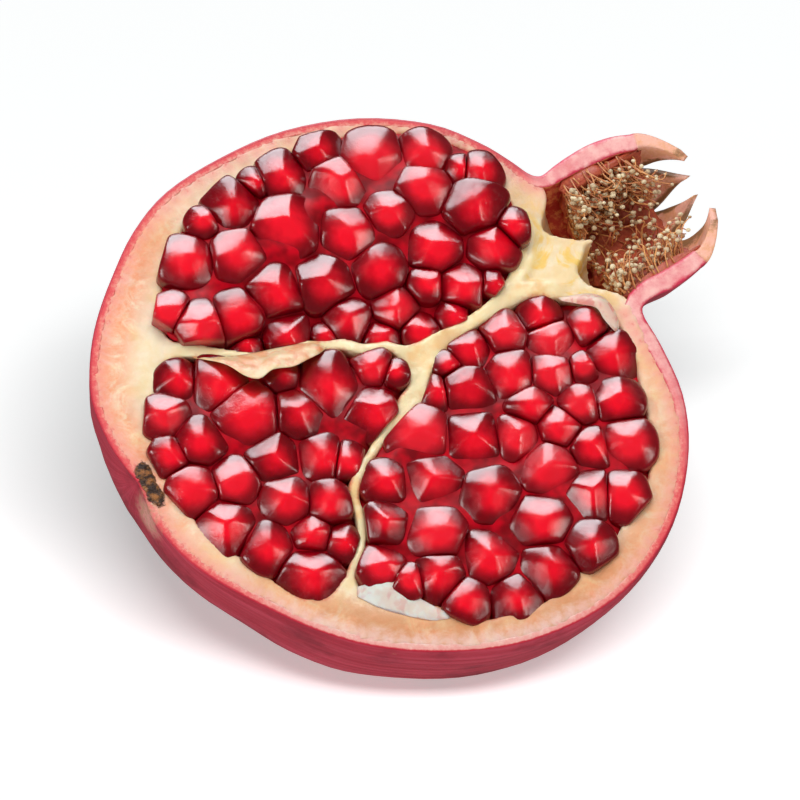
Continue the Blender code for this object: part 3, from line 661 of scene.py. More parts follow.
@dataclass
class Rind:
    """The rind with its crown: a shell whose half-round sections stand on chords of the cut edge."""

    pole: tuple[float, float] = (-40.2, -12.0)
    edge: tuple[tuple[tuple[float, float], tuple[float, float]], ...] = (
        ((-41.8, -9.2), (-39.5, -14.4)),
        ((-43.8, -4.7), (-38.6, -18.4)),
        ((-45.3, 2.1), (-36.4, -22.4)),
        ((-44.7, 8.5), (-33.6, -26.0)),
        ((-42.8, 15.1), (-29.6, -29.6)),
        ((-39.6, 22.0), (-24.0, -33.6)),
        ((-35.5, 29.0), (-17.0, -38.0)),
        ((-29.6, 35.2), (-8.8, -41.5)),
        ((-20.6, 40.2), (0.5, -43.3)),
        ((-10.5, 43.8), (10.5, -43.5)),
        ((1.0, 44.9), (20.0, -41.4)),
        ((11.8, 43.0), (28.5, -37.3)),
        ((18.9, 39.2), (35.2, -31.3)),
        ((23.0, 35.9), (40.3, -23.4)),
        ((25.4, 33.6), (43.3, -14.0)),
        ((26.8, 32.9), (43.7, -5.0)),
        ((27.9, 33.1), (41.6, 3.4)),
        ((29.6, 34.3), (39.6, 9.0)),
        ((31.9, 35.7), (41.2, 11.2)),
        ((35.3, 37.4), (44.8, 12.6)),
        ((38.9, 38.4), (47.8, 14.4)),
        ((42.0, 38.6), (50.2, 16.2)),
    )
    walls: tuple[float, ...] = (1.3,) * 14 + (1.5, 1.8, 2.2, 2.6, 2.9, 3.2, 3.0, 2.7)
    lobe_wall: float = 1.1
    depth_ratio: float = 1.04
    scar_depths: tuple[float, ...] = (0.8, 0.8, 0.88, 0.94, 0.98)
    ridges: int = 6
    swell: float = 0.008
    settle: float = 0.2
    row_steps: int = 4
    round_steps: int = 96
    rim_steps: int = 5
    lobe_rows: int = 16
    neck: int = 17
    lobes: tuple[tuple[float, float, float], ...] = (
        (-30.0, 7.5, 37.5), (37.5, 52.5, 75.0), (75.0, 90.0, 105.0), (105.0, 165.0, 210.0))
    lobe_length: float = 6.5
    lobe_curl: float = 0.6
    lobe_bend: float = 1.7
    lobe_fullness: float = 0.48
    lobe_notch: float = 0.08
    crown_climb: float = math.radians(24)

    def crown_axis(self) -> np.ndarray:
        """Direction of the crown tube on the cut face."""
        return np.array((math.cos(self.crown_climb), math.sin(self.crown_climb), 0.0))

    def chords(self) -> tuple[np.ndarray, np.ndarray]:
        """Smooth rows of chords of the cut edge, and the rind's wall at each.

        Returns:
            Chords as (row, end, u v), from the pole to the crown's mouth, and walls as (row).
        """
        pairs = np.array(((self.pole, self.pole), *self.edge))
        walls = np.array((self.walls[0], *self.walls))
        return spline(pairs, self.row_steps), spline(walls[:, None], self.row_steps)[:, 0]

    def turns(self) -> np.ndarray:
        """Angles round a section, from its upper to its lower end."""
        return np.linspace(0, math.pi, self.round_steps + 1)

    def sections(self, chords: np.ndarray) -> np.ndarray:
        """Points of the half-round sections on chords, as (row, turn, u v n)."""
        turns = self.turns()
        flat = np.concatenate((chords, np.zeros((*chords.shape[:2], 1))), axis=2)
        middle = flat.mean(axis=1)[:, None]
        half = ((flat[:, 0] - flat[:, 1]) / 2)[:, None]
        length = np.linalg.norm(half, axis=2, keepdims=True)
        swell = 1 + self.swell * np.cos(2 * self.ridges * turns)[None, :, None]
        down = np.array((0.0, 0.0, -1.0))
        inside = (np.sin(turns) > 1e-6)[None, :, None]
        across = half * np.cos(turns)[None, :, None] * np.where(inside, swell, 1.0)
        count = len(self.edge) + 1 - len(self.scar_depths)
        shares = np.array((*self.scar_depths, *(1.0,) * count))
        deep = np.interp(np.linspace(0, len(self.edge), len(chords)), np.arange(len(shares)), shares)
        depth = length * self.depth_ratio * deep[:, None, None]
        return middle + across + down * depth * swell * np.sin(turns)[None, :, None]

    def lobe_reach(self) -> np.ndarray:
        """Share of the lobes' length that the crown has at each angle."""
        angles = np.degrees(self.turns())
        reach = np.full(len(angles), self.lobe_notch)
        for start, tip, end in self.lobes:
            before = (angles - start) / (tip - start)
            after = (end - angles) / (end - tip)
            tent = np.clip(np.minimum(before, after), 0, 1)
            reach = np.maximum(reach, tent ** self.lobe_fullness)
        return reach

    def lobe_edges(self, lobe: np.ndarray, columns: int) -> np.ndarray:
        """How near each point of the shell is to the edge of its lobe, from 0 in its middle to 1."""
        angles = np.degrees(self.turns())
        edge = np.zeros(len(angles))
        for start, tip, end in self.lobes:
            within = (angles >= start) & (angles <= end)
            share = np.where(angles < tip, (tip - angles) / (tip - start), (angles - tip) / (end - tip))
            edge = np.where(within, share, edge)
        extra = self.rim_steps - 1
        around = np.concatenate((edge, np.full(extra, edge[-1]), edge[::-1], np.full(extra, edge[0]), edge[:1]))
        return np.clip(around[None, :columns] * 0.8 + lobe[:, None] ** 2 * 0.55, 0, 1)

    def normals(self, rows: np.ndarray) -> np.ndarray:
        """Outward directions at the points of rows."""
        along = np.gradient(rows, axis=0)
        across = np.gradient(rows, axis=1)
        across[:, 0] = (0, 0, -1)
        across[:, -1] = (0, 0, 1)
        outward = np.cross(along, across)
        outward[0] = -self.crown_axis()
        return outward / np.maximum(np.linalg.norm(outward, axis=2, keepdims=True), 1e-9)

    def build(self, finish: bpy.types.Material) -> bpy.types.Object:
        """Build the shell: outer skin, cut wall, inner side and the crown's lobes."""
        chords, walls = self.chords()
        rows = self.sections(chords)
        mouth = rows[-1]
        middle = (mouth[0] + mouth[-1]) / 2
        reach = self.lobe_reach()
        lobe_rows = []
        for step in range(1, self.lobe_rows + 1):
            share = (reach * step / self.lobe_rows)[:, None]
            inward = 1 - self.lobe_curl * share ** self.lobe_bend
            lobe_rows.append(middle + (mouth - middle) * inward + self.crown_axis() * self.lobe_length * share)
        rows = np.concatenate((rows, np.array(lobe_rows)))
        lobe = np.concatenate((np.zeros(len(walls)), np.arange(1, self.lobe_rows + 1) / self.lobe_rows))
        thin = np.linspace(walls[-1], self.lobe_wall, self.lobe_rows + 1)[1:]
        walls = np.concatenate((walls, thin))
        outward = self.normals(rows)
        inner = rows - outward * walls[:, None, None]
        inner[0] = rows[0] + self.crown_axis() * walls[0]
        dents = lumps(rows, 9.0)[..., None] * 0.28 + lumps(rows, 2.4, 3.0)[..., None] * 0.05
        fade = np.sin(self.turns())[None, :, None] ** 0.5
        rows = rows + outward * (dents - self.settle) * fade
        shares = np.linspace(0, 1, self.rim_steps + 1)[1:-1]
        low_rim = [rows[:, -1] * (1 - s) + inner[:, -1] * s for s in shares]
        high_rim = [inner[:, 0] * (1 - s) + rows[:, 0] * s for s in shares]
        ring = np.concatenate((
            rows, np.stack(low_rim, axis=1), inner[:, ::-1], np.stack(high_rim, axis=1), rows[:, :1]), axis=1)
        outer_count = self.round_steps + 1
        layer = np.concatenate((np.zeros(outer_count), shares, np.ones(outer_count), shares[::-1], [0.0]))
        closing = (ring[-1] + np.concatenate((
            inner[-1], np.stack([inner[-1, -1]] * len(shares)), rows[-1, ::-1],
            np.stack([rows[-1, 0]] * len(shares)), inner[-1, :1]))) / 2
        ring = np.concatenate((ring, closing[None]))
        lobe = np.concatenate((lobe, [1.0]))
        walls = np.concatenate((walls, walls[-1:]))
        rim = (layer[None] - 1) * walls[:, None]
        row = np.arange(len(ring)) / self.row_steps
        tube = smooth_step(self.neck - 3.0, self.neck + 0.5, row)
        points = FACE.carry(ring)
        floor = np.where(layer > 0.5, self.walls[0] * MM, 0.0)
        depth = points[..., 2] - floor
        points[..., 2] = floor + (depth + np.sqrt(depth ** 2 + (0.25 * MM) ** 2)) / 2
        values = {
            "layer": np.broadcast_to(layer, points.shape[:2]),
            "lobe": np.broadcast_to(lobe[:, None], points.shape[:2]) * 1.0,
            "rim": rim,
            "tube": np.broadcast_to(tube[:, None], points.shape[:2]) * 1.0,
            "lobe_edge": self.lobe_edges(lobe, len(layer)),
        }
        shell = woven("rind_shell", points, values)
        dress(shell, finish, "skin")
        return shell


@dataclass
class Pith:
    """The pith: the body inside the rind down to a hidden depth, with the walls between the seed chambers."""

    rind: Rind
    chambers: dict[str, np.ndarray]
    depth: float = 11.0
    gap: float = -0.55
    floor_back: int = 4
    floor_rings: tuple[tuple[float, float], ...] = ((0.8, 0.5), (0.5, 1.0), (0.2, 1.2))
    chord_steps: int = 24
    voxel: float = 0.42
    hollows: tuple[tuple[tuple[float, float], ...], ...] = (
        ((27.25, 33.45), (27.95, 29.65), (26.45, 25.05), (27.25, 23.25), (29.45, 22.45), (31.45, 22.05), (33.45, 22.05),
         (37.25, 24.65), (38.45, 33.45), (33.05, 36.45)),
        ((33.25, 21.25), (31.95, 19.05), (30.85, 17.05), (31.65, 14.85), (33.65, 13.65), (36.65, 12.45), (39.45, 10.25),
         (41.45, 13.25), (38.25, 20.85)),
    )
    hollow_levels: tuple[tuple[float, float], ...] = (
        (5.0, 0.0), (5.0, 1.0), (-0.5, 1.0), (-4.3, 0.94), (-7.3, 0.8), (-9.3, 0.55), (-9.3, 0.0))
    chamber_levels: tuple[tuple[float, float], ...] = (
        (5.0, 0.0), (5.0, 1.0), (-0.3, 1.0), (-5.0, 0.97), (-14.0, 0.86), (-14.0, 0.0))

    def body(self) -> bpy.types.Object:
        """Build the closed body that fills the rind up to the floor of the crown cup."""
        chords, walls = self.rind.chords()
        last = (self.rind.neck + 1) * self.rind.row_steps + 1 - self.floor_back
        rows = self.rind.sections(chords)
        outward = self.rind.normals(rows)
        rows = (rows - outward * (walls + self.gap)[:, None, None])[:last:2, ::2]
        rows[0] = np.array((*self.rind.pole, 0.0)) + self.rind.crown_axis() * (walls[0] + self.gap)
        neck = rows[-1]
        middle = (neck[0] + neck[-1]) / 2
        rings = [middle + (neck - middle) * share + self.rind.crown_axis() * run
                 for share, run in (*self.floor_rings, (0.0, self.floor_rings[-1][1]))]
        rows = np.concatenate((rows, np.array(rings)))
        shares = np.linspace(0, 1, self.chord_steps + 1)[1:-1, None]
        chord = rows[:, -1:] * (1 - shares) + rows[:, :1] * shares
        ring = np.concatenate((rows, chord, rows[:, :1]), axis=1)
        return woven("pith_body", FACE.carry(ring), {})

    def cutter(self, outline: np.ndarray, levels: tuple[tuple[float, float], ...]) -> bpy.types.Object:
        """Build the closed form of one hollow, from its outline and its levels as (height, share of the outline)."""
        middle = outline.mean(axis=0)
        closed = np.concatenate((outline, outline[:1]))
        rows = [np.column_stack((middle + (closed - middle) * share, np.full(len(closed), height)))
                for height, share in levels]
        return woven("chamber_cutter", FACE.carry(np.array(rows)), {})

    def build(self, finish: bpy.types.Material) -> bpy.types.Object:
        """Build the pith with its chambers, soften it and give its cut face relief."""
        body = self.body()
        axes = FACE.axes()
        low = FACE.carry(np.array((0.0, 0.0, -self.depth)))
        bpy.ops.object.mode_set(mode="EDIT")
        bpy.ops.mesh.select_all(action="SELECT")
        bpy.ops.mesh.bisect(plane_co=low, plane_no=axes[2], use_fill=True, clear_inner=True)
        bpy.ops.object.mode_set(mode="OBJECT")
        chambers = [self.cutter(outline, self.chamber_levels) for outline in self.chambers.values()]
        hollows = [self.cutter(spline(np.array(outline), 5, closed=True), self.hollow_levels)
                   for outline in self.hollows]
        for pieces in (chambers, hollows):
            cutters = join(pieces, "cutters")
            modify(body, "BOOLEAN", operation="DIFFERENCE", object=cutters)
            bpy.data.objects.remove(cutters)
        modify(body, "REMESH", mode="VOXEL", voxel_size=self.voxel * MM)
        modify(body, "SMOOTH", factor=0.5, iterations=4)
        points = FACE.bring(places(body))
        rim = self.rim_distance(points)
        wall = self.wall_distance(points)
        inner = smooth_step(9.0, 13.0, rim)
        septum = inner * (1 - smooth_step(2.2, 3.6, wall))
        top = smooth_step(-3.0, -0.6, points[:, 2])
        rise = lumps(points, 1.3) * 0.10 + lumps(points, 5.0, 5.0) * 0.22
        rise += septum * (0.8 + lumps(points, 5.0, 9.0) * 1.1)
        rise = rise * smooth_step(0.0, 1.6, rim) + 0.05
        points[:, 2] += rise * top
        sway = lumps(points, 7.0, 2.0) * septum * 0.5
        points[:, 1] += sway * top
        body.data.vertices.foreach_set("co", FACE.carry(points).reshape(-1))
        body.data.update()
        store(body, "rim", rim)
        store(body, "wall", wall)
        store(body, "septum", septum)
        # Painted shade: how far below the cut face a point lies near a chamber's wall, for the dark red in the hollows.
        depth = smooth_step(-0.6, -3.0, points[:, 2])
        store(body, "painted_hollow_shade", depth * (1 - smooth_step(0.6, 1.6, wall)))
        bpy.ops.object.shade_smooth()
        dress(body, finish, "pith")
        return body

    @staticmethod
    def distances(points: np.ndarray, outline: np.ndarray) -> np.ndarray:
        """Distance of points from the nearest point of an outline, across the cut face."""
        result = np.empty(len(points))
        for start in range(0, len(points), 4000):
            part = points[start:start + 4000, None, :2] - outline[None]
            result[start:start + 4000] = np.sqrt((part ** 2).sum(axis=2)).min(axis=1)
        return result

    def rim_distance(self, points: np.ndarray) -> np.ndarray:
        """Distance from the rind, across the cut face."""
        chords, walls = self.rind.chords()
        rows = self.rind.sections(chords)
        inner = rows - self.rind.normals(rows) * walls[:, None, None]
        last = (self.rind.neck + 1) * self.rind.row_steps + 1
        outline = np.concatenate((inner[:last, 0, :2], inner[:last, -1, :2]))
        return self.distances(points, outline)

    def wall_distance(self, points: np.ndarray) -> np.ndarray:
        """Distance from the nearest chamber's edge, across the cut face."""
        return np.min([self.distances(points, outline) for outline in self.chambers.values()], axis=0)


@dataclass
class SeedRow:
    """A row of seeds: how far it stands proud, and (across, up, width) of each seed along it."""

    proud: float
    seeds: tuple[tuple[float, float, float], ...]


@dataclass
class Seed:
    """One seed: its place on the cut face, its radius, how far it stands proud, and its half height."""

    spot: np.ndarray
    radius: float
    proud: float
    tall: float
    peak: float = 0.88

    def middle(self) -> np.ndarray:
        """Centre of the seed, as (u, v, n)."""
        return np.array((*self.spot, self.proud - self.tall * self.peak))


@dataclass
class SeedChamber:
    """The seeds of one chamber, pressed against each other, and the wet web between them."""

    node: str
    outline: tuple[tuple[float, float], ...]
    rows: tuple[SeedRow, ...]
    seed: int
    tall: float = 5.6
    tall_share: float = 1.5
    swell: float = 1.36
    jitter: float = 0.35
    gap: float = 0.05
    crispness: float = 22.0
    squareness: tuple[float, float] = (2.3, 3.6)
    facets: tuple[tuple[float, float, float], ...] = (
        (95, 14, 30), (30, 16, 34), (160, 16, 34), (235, 20, 38), (310, 20, 38), (90, 0, 8))
    facet_depth: tuple[float, float] = (0.90, 1.01)
    overhang: float = 1.3
    septum_overlap: float = 0.35
    web_drop: float = 2.5
    web_low: float = -9.0

    def curve(self) -> np.ndarray:
        """Smooth outline of the chamber."""
        return spline(np.array(self.outline), 8, closed=True)

    def seeds(self) -> list[Seed]:
        """Place the seeds row by row, with a seeded variation of how far they stand proud."""
        chance = random.Random(self.seed)
        result = []
        for row in self.rows:
            for across, up, width in row.seeds:
                proud = row.proud + chance.uniform(-1, 1) * self.jitter
                tall = min(self.tall, width / 2 * self.tall_share)
                result.append(Seed(np.array((across, up)), width / 2, proud, tall))
        return result

    def side_facets(self, seed: Seed, others: list[Seed], chance: random.Random) -> list[tuple[np.ndarray, float]]:
        """Facets of a seed against its neighbours, as outward directions and distances from its centre."""
        facets = []
        for other in others:
            apart = other.spot - seed.spot
            length = np.linalg.norm(apart)
            reach = (length ** 2 + seed.radius ** 2 - other.radius ** 2) / (2 * length) - self.gap / 2
            if reach < seed.radius * self.swell * 1.05:
                normal = np.array((*(apart / length), chance.uniform(-0.04, 0.12)))
                facets.append((normal / np.linalg.norm(normal), max(reach, seed.radius * 0.3) * 1.03))
        return facets

    def wall_facets(self, seed: Seed, walls: np.ndarray) -> list[tuple[np.ndarray, float]]:
        """Facets of a seed against its chamber's wall: close at the septa, and overhanging elsewhere.

        Args:
            seed: The seed.
            walls: The chamber's outline, as (u, v, distance to the nearest other chamber).

        Returns:
            The facets, as outward directions and distances from the seed's centre.
        """
        facets = []
        apart = walls[:, :2] - seed.spot
        length = np.linalg.norm(apart, axis=1)
        left = np.full(len(walls), True)
        while left.any():
            nearest = np.argmin(np.where(left, length, np.inf))
            if length[nearest] > seed.radius * self.swell * 1.05:
                break
            normal = np.array((*(apart[nearest] / length[nearest]), 0.0))
            extra = self.septum_overlap if walls[nearest, 2] < 4.0 else self.overhang
            facets.append((normal, max(length[nearest] + extra, seed.radius * 0.45)))
            left &= apart @ normal[:2] / np.maximum(length, 1e-6) < 0.6
        return facets

    def top_facets(self, seed: Seed, chance: random.Random) -> list[tuple[np.ndarray, float]]:
        """Facets on a seed's top, as outward directions and distances from its centre."""
        facets = []
        for bearing, least, most in self.facets:
            turn = math.radians(bearing + chance.uniform(-28, 28))
            lean = math.radians(chance.uniform(least, most))
            normal = np.array((math.cos(turn) * math.sin(lean), math.sin(turn) * math.sin(lean), math.cos(lean)))
            depth = chance.uniform(*self.facet_depth)
            facets.append((normal, seed.tall * seed.peak * math.cos(lean) * depth))
        return facets

    def shape(self, seed: Seed, others: list[Seed], walls: np.ndarray, chance: random.Random) -> bpy.types.Object:
        """Model one seed: a sphere pressed into a polyhedron with soft edges."""
        deselect()
        fine = 5 if seed.radius > 2.9 else 4
        bpy.ops.mesh.primitive_ico_sphere_add(subdivisions=fine, radius=1.0)
        piece = bpy.context.object
        ways = places(piece)
        ways /= np.linalg.norm(ways, axis=1, keepdims=True)
        wide = seed.radius * self.swell
        size = np.array((wide, wide, seed.tall))
        crisp = self.crispness * chance.uniform(0.75, 1.25)
        square = chance.uniform(*self.squareness)
        flat = np.linalg.norm(ways[:, :2] / size[:2], axis=1)
        total = (flat ** square + np.abs(ways[:, 2] / size[2]) ** square) ** (crisp / square)
        facets = self.side_facets(seed, others, chance) + self.wall_facets(seed, walls)
        for normal, reach in facets + self.top_facets(seed, chance):
            total += np.clip(ways @ normal / reach, 0, None) ** crisp
        local = ways * (total ** (-1 / crisp))[:, None]
        local = local * (1 + 0.010 * lumps(local + seed.middle(), 2.2)[:, None])
        piece.data.vertices.foreach_set("co", FACE.carry(seed.middle() + local).reshape(-1))
        # Painted light: glow is a bright patch just below the middle of each seed's top, where light would shine
        # through the juice.
        shift = local[:, :2] - np.array((0.05, -0.22)) * seed.radius
        spread = np.linalg.norm(shift, axis=1) / (0.70 * seed.radius)
        glow = np.exp(-spread ** 2) * smooth_step(0.1, 0.7, local[:, 2] / seed.tall)
        # Painted shade: edge grows towards each seed's outline, where its material darkens it.
        reach = np.linalg.norm(local[:, :2], axis=1) / seed.radius
        store(piece, "glow", glow)
        store(piece, "edge", smooth_step(0.55, 1.05, reach))
        store(piece, "tone", np.full(len(ways), chance.random()))
        return piece

    def web(self, seeds: list[Seed]) -> bpy.types.Object:
        """Model the web that fills the gaps between the seeds."""
        outline = self.curve()
        middle = outline.mean(axis=0)
        closed = np.concatenate((outline, outline[:1]))
        rows = []
        for share in np.linspace(0.0, 1.0, 46):
            flat = middle + (closed - middle) * share
            weight = np.zeros(len(flat))
            height = np.zeros(len(flat))
            for seed in seeds:
                near = np.exp(-((flat - seed.spot) ** 2).sum(axis=1) / 9.0) + 1e-9
                weight += near
                height += near * (seed.proud - self.web_drop)
            height = height / weight - smooth_step(0.82, 1.0, share) * 1.4
            rows.append(np.column_stack((flat, height)))
        for share in (0.9, 0.0):
            rows.append(np.column_stack((middle + (closed - middle) * share, np.full(len(closed), self.web_low))))
        return woven(self.node + "_web", FACE.carry(np.array(rows)), {})

    def build(self, flesh: bpy.types.Material, web: bpy.types.Material, others: list[np.ndarray]) -> None:
        """Build the chamber's seeds and their web.

        Args:
            flesh: Finish of the seeds.
            web: Finish of the web.
            others: Outlines of the other chambers.
        """
        seeds = self.seeds()
        chance = random.Random(self.seed + 100)
        outline = self.curve()
        walls = np.column_stack((outline, np.min([Pith.distances(outline, other) for other in others], axis=0)))
        pieces = []
        for seed in seeds:
            near = [other for other in seeds if other is not seed
                    and np.linalg.norm(other.spot - seed.spot) < other.radius + seed.radius + 3]
            pieces.append(self.shape(seed, near, walls, chance))
        whole = join(pieces, self.node + "_seeds")
        clean(whole, 0.0005)
        dress(whole, flesh, self.node)
        dress(self.web(seeds), web, self.node)


@dataclass
class Membrane:
    """A thin torn sheet of pith between two edges, each read from one end to the other, at a height."""

    name: str
    first: tuple[tuple[float, float, float], ...]
    second: tuple[tuple[float, float, float], ...]
    bulge: float = 0.6
    wrinkle: float = 0.35
    thickness: float = 0.5
    along: int = 48
    across: int = 18

    def build(self, finish: bpy.types.Material) -> bpy.types.Object:
        """Build the sheet as a closed thin body."""
        curves = []
        for edge in (self.first, self.second):
            curve = spline(np.array(edge), 12)
            run = np.concatenate(([0.0], np.cumsum(np.linalg.norm(np.diff(curve, axis=0), axis=1))))
            goals = np.linspace(0, run[-1], self.along + 1)
            curves.append(np.column_stack([np.interp(goals, run, curve[:, axis]) for axis in range(3)]))
        shares = np.linspace(0, 1, self.across + 1)[None, :, None]
        top = curves[0][:, None] * (1 - shares) + curves[1][:, None] * shares
        lengthways = np.linspace(0, 1, self.along + 1)[:, None]
        body = np.sin(shares[..., 0] * math.pi) * np.sin(lengthways * math.pi) ** 0.5
        top[..., 2] += self.bulge * body + self.wrinkle * lumps(top, 1.6) * np.minimum(1, body * 3)
        under = top.copy()
        under[..., 2] -= self.thickness * np.minimum(1, body * 2.5)
        ring = np.concatenate((top, under[:, ::-1][:, 1:]), axis=1)
        piece = woven(self.name, FACE.carry(ring), {"sheet": np.ones(ring.shape[:2])})
        dress(piece, finish, "pith")
        return piece


@dataclass
class Stamens:
    """The dried stamens in the crown cup: curved filaments with anthers."""

    rind: Rind
    bunches: tuple[tuple[int, float, float, float], ...] = (
        (220, 0.04, 0.96, 1.0), (230, 0.0, 0.24, 1.2), (90, 0.78, 1.0, 1.1))
    length: float = 4.8
    width: float = 0.24
    anther: float = 0.76
    sides: int = 4
    root: float = 3.2

    def cup(self, distance: float, turn: float, inward: float) -> np.ndarray:
        """Point in the cup: along the tube from the neck, round it, and in from the tube's outer side."""
        chords = np.array(self.rind.edge[self.rind.neck:])
        middles = chords.mean(axis=1)
        run = np.concatenate(([0.0], np.cumsum(np.linalg.norm(np.diff(middles, axis=0), axis=1))))
        ends = np.array([[np.interp(distance, run, chords[:, end, axis]) for axis in (0, 1)] for end in (0, 1)])
        beyond = max(0.0, distance - run[-1])
        middle = ends.mean(axis=0) + self.rind.crown_axis()[:2] * beyond
        half = (ends[0] - ends[1]) / 2
        radius = np.linalg.norm(half) - inward
        flat = middle + half / np.linalg.norm(half) * radius * math.cos(turn)
        return np.array((*flat, -radius * math.sin(turn)))

    def build(self, filament: bpy.types.Material, anther: bpy.types.Material, mat: bpy.types.Material) -> None:
        """Build the mat, the filaments and the anthers."""
        chance = random.Random(7)
        threads = []
        heads = []
        spans = [(first, last, long) for count, first, last, long in self.bunches for _ in range(count)]
        for first, last, long in spans:
            distance = chance.uniform(-4.0, 12.0)
            turn = math.pi * chance.uniform(first, last)
            lean = chance.uniform(-0.3, 0.8)
            reach = self.length * long * chance.uniform(0.35, 1.2)
            sway = chance.uniform(-0.6, 0.6)
            base = self.root
            route = np.array([
                self.cup(distance, turn, base),
                self.cup(distance + reach * lean * 0.2, turn + sway * 0.2, base + reach * 0.45),
                self.cup(distance + reach * lean * 0.6, turn + sway * 0.7, base + reach * 0.8),
                self.cup(distance + reach * lean, turn + sway, base + reach * chance.uniform(0.6, 1.0)),
            ])
            route[1:] += np.array([[chance.uniform(-0.5, 0.5) for _ in range(3)] for _ in range(3)])
            route[:, 2] = np.minimum(route[:, 2], 0.4 + chance.uniform(0, 0.9))
            curve = spline(route, 4)
            threads.append(self.thread(curve, chance))
            if chance.random() < 0.85:
                heads.append(self.head(curve[-1], chance))
        threads = join(threads, "stamen_filaments")
        dress(threads, filament, "stamens")
        heads = join(heads, "stamen_anthers")
        dress(heads, anther, "stamens")
        dress(self.mat(), mat, "stamens")

    def thread(self, curve: np.ndarray, chance: random.Random) -> bpy.types.Object:
        """Model one filament along a curve."""
        along = np.gradient(curve, axis=0)
        along /= np.linalg.norm(along, axis=1, keepdims=True)
        across = np.cross(along, np.array((0.3, 0.5, 0.8)))
        across /= np.linalg.norm(across, axis=1, keepdims=True)
        other = np.cross(along, across)
        thin = self.width / 2 * np.linspace(1.2, 0.75, len(curve))[:, None]
        turns = np.linspace(0, math.tau, self.sides + 1)
        rings = [curve + (across * math.cos(turn) + other * math.sin(turn)) * thin for turn in turns]
        rows = np.stack(rings, axis=1)
        rows = np.concatenate((np.repeat(curve[:1, None], self.sides + 1, axis=1), rows,
                               np.repeat(curve[-1:, None], self.sides + 1, axis=1)))
        tone = np.full(rows.shape[:2], chance.random())
        return woven("filament", FACE.carry(rows), {"tone": tone})

    def head(self, tip: np.ndarray, chance: random.Random) -> bpy.types.Object:
        """Model one anther at a filament's tip."""
        deselect()
        bpy.ops.mesh.primitive_ico_sphere_add(subdivisions=2, radius=1.0)
        piece = bpy.context.object
        ways = places(piece)
        size = self.anther / 2 * chance.uniform(0.7, 1.25)
        shape = ways * np.array((1.0, chance.uniform(0.65, 1.0), chance.uniform(0.7, 1.1))) * size
        shape *= 1 + 0.25 * lumps(ways * 2 + tip, 1.0)[:, None]
        piece.data.vertices.foreach_set("co", FACE.carry(tip + shape).reshape(-1))
        store(piece, "tone", np.full(len(ways), chance.random()))
        bpy.ops.object.shade_smooth()
        return piece

    def mat(self) -> bpy.types.Object:
        """Model the mat of filament roots on the cup's wall."""
        rows = []
        turns = np.pi * np.linspace(0.01, 0.99, 65)
        for distance, inward in ((-3.5, 2.4), (-2.5, 4.4), (10.5, 4.0), (13.0, 2.4), (-3.5, 2.4)):
            rows.append([self.cup(distance, turn, inward) for turn in turns])
        rows = spline(np.array(rows), 6)
        rows = rows + lumps(rows, 1.2)[..., None] * 0.7
        closed = np.concatenate((rows.mean(axis=0)[None, :1].repeat(len(rows), axis=0), rows,
                                 rows.mean(axis=0)[None, -1:].repeat(len(rows), axis=0)), axis=1)
        return woven("stamen_mat", FACE.carry(closed), {"tone": np.full(closed.shape[:2], 0.4)})


class Panel(Enum):
    """The softboxes of the studio, as (name, place, size, colour, radiance, shines, fills).

    SWEEP lights the floor alone, and the others leave it out.
    """

    TOP = ("top", (0.02, 0.48, 1.00), (1.05, 0.85), (0.92, 0.95, 1.0), 8.5, True, False)
    LEFT = ("left", (-0.95, -0.50, 0.55), (0.42, 0.38), (1.0, 0.96, 0.95), 8.0, True, True)
    RIGHT = ("right", (0.80, -0.55, 0.50), (0.10, 0.40), (1.0, 0.90, 0.84), 12.0, True, True)
    OVER = ("over", (-0.10, -0.22, 1.30), (1.40, 1.10), (1.0, 0.985, 0.97), 3.1, False, True)
    SWEEP = ("sweep", (-0.22, -3.02, 2.60), (1.40, 0.40), (1.0, 1.0, 1.0), 99.0, False, True)


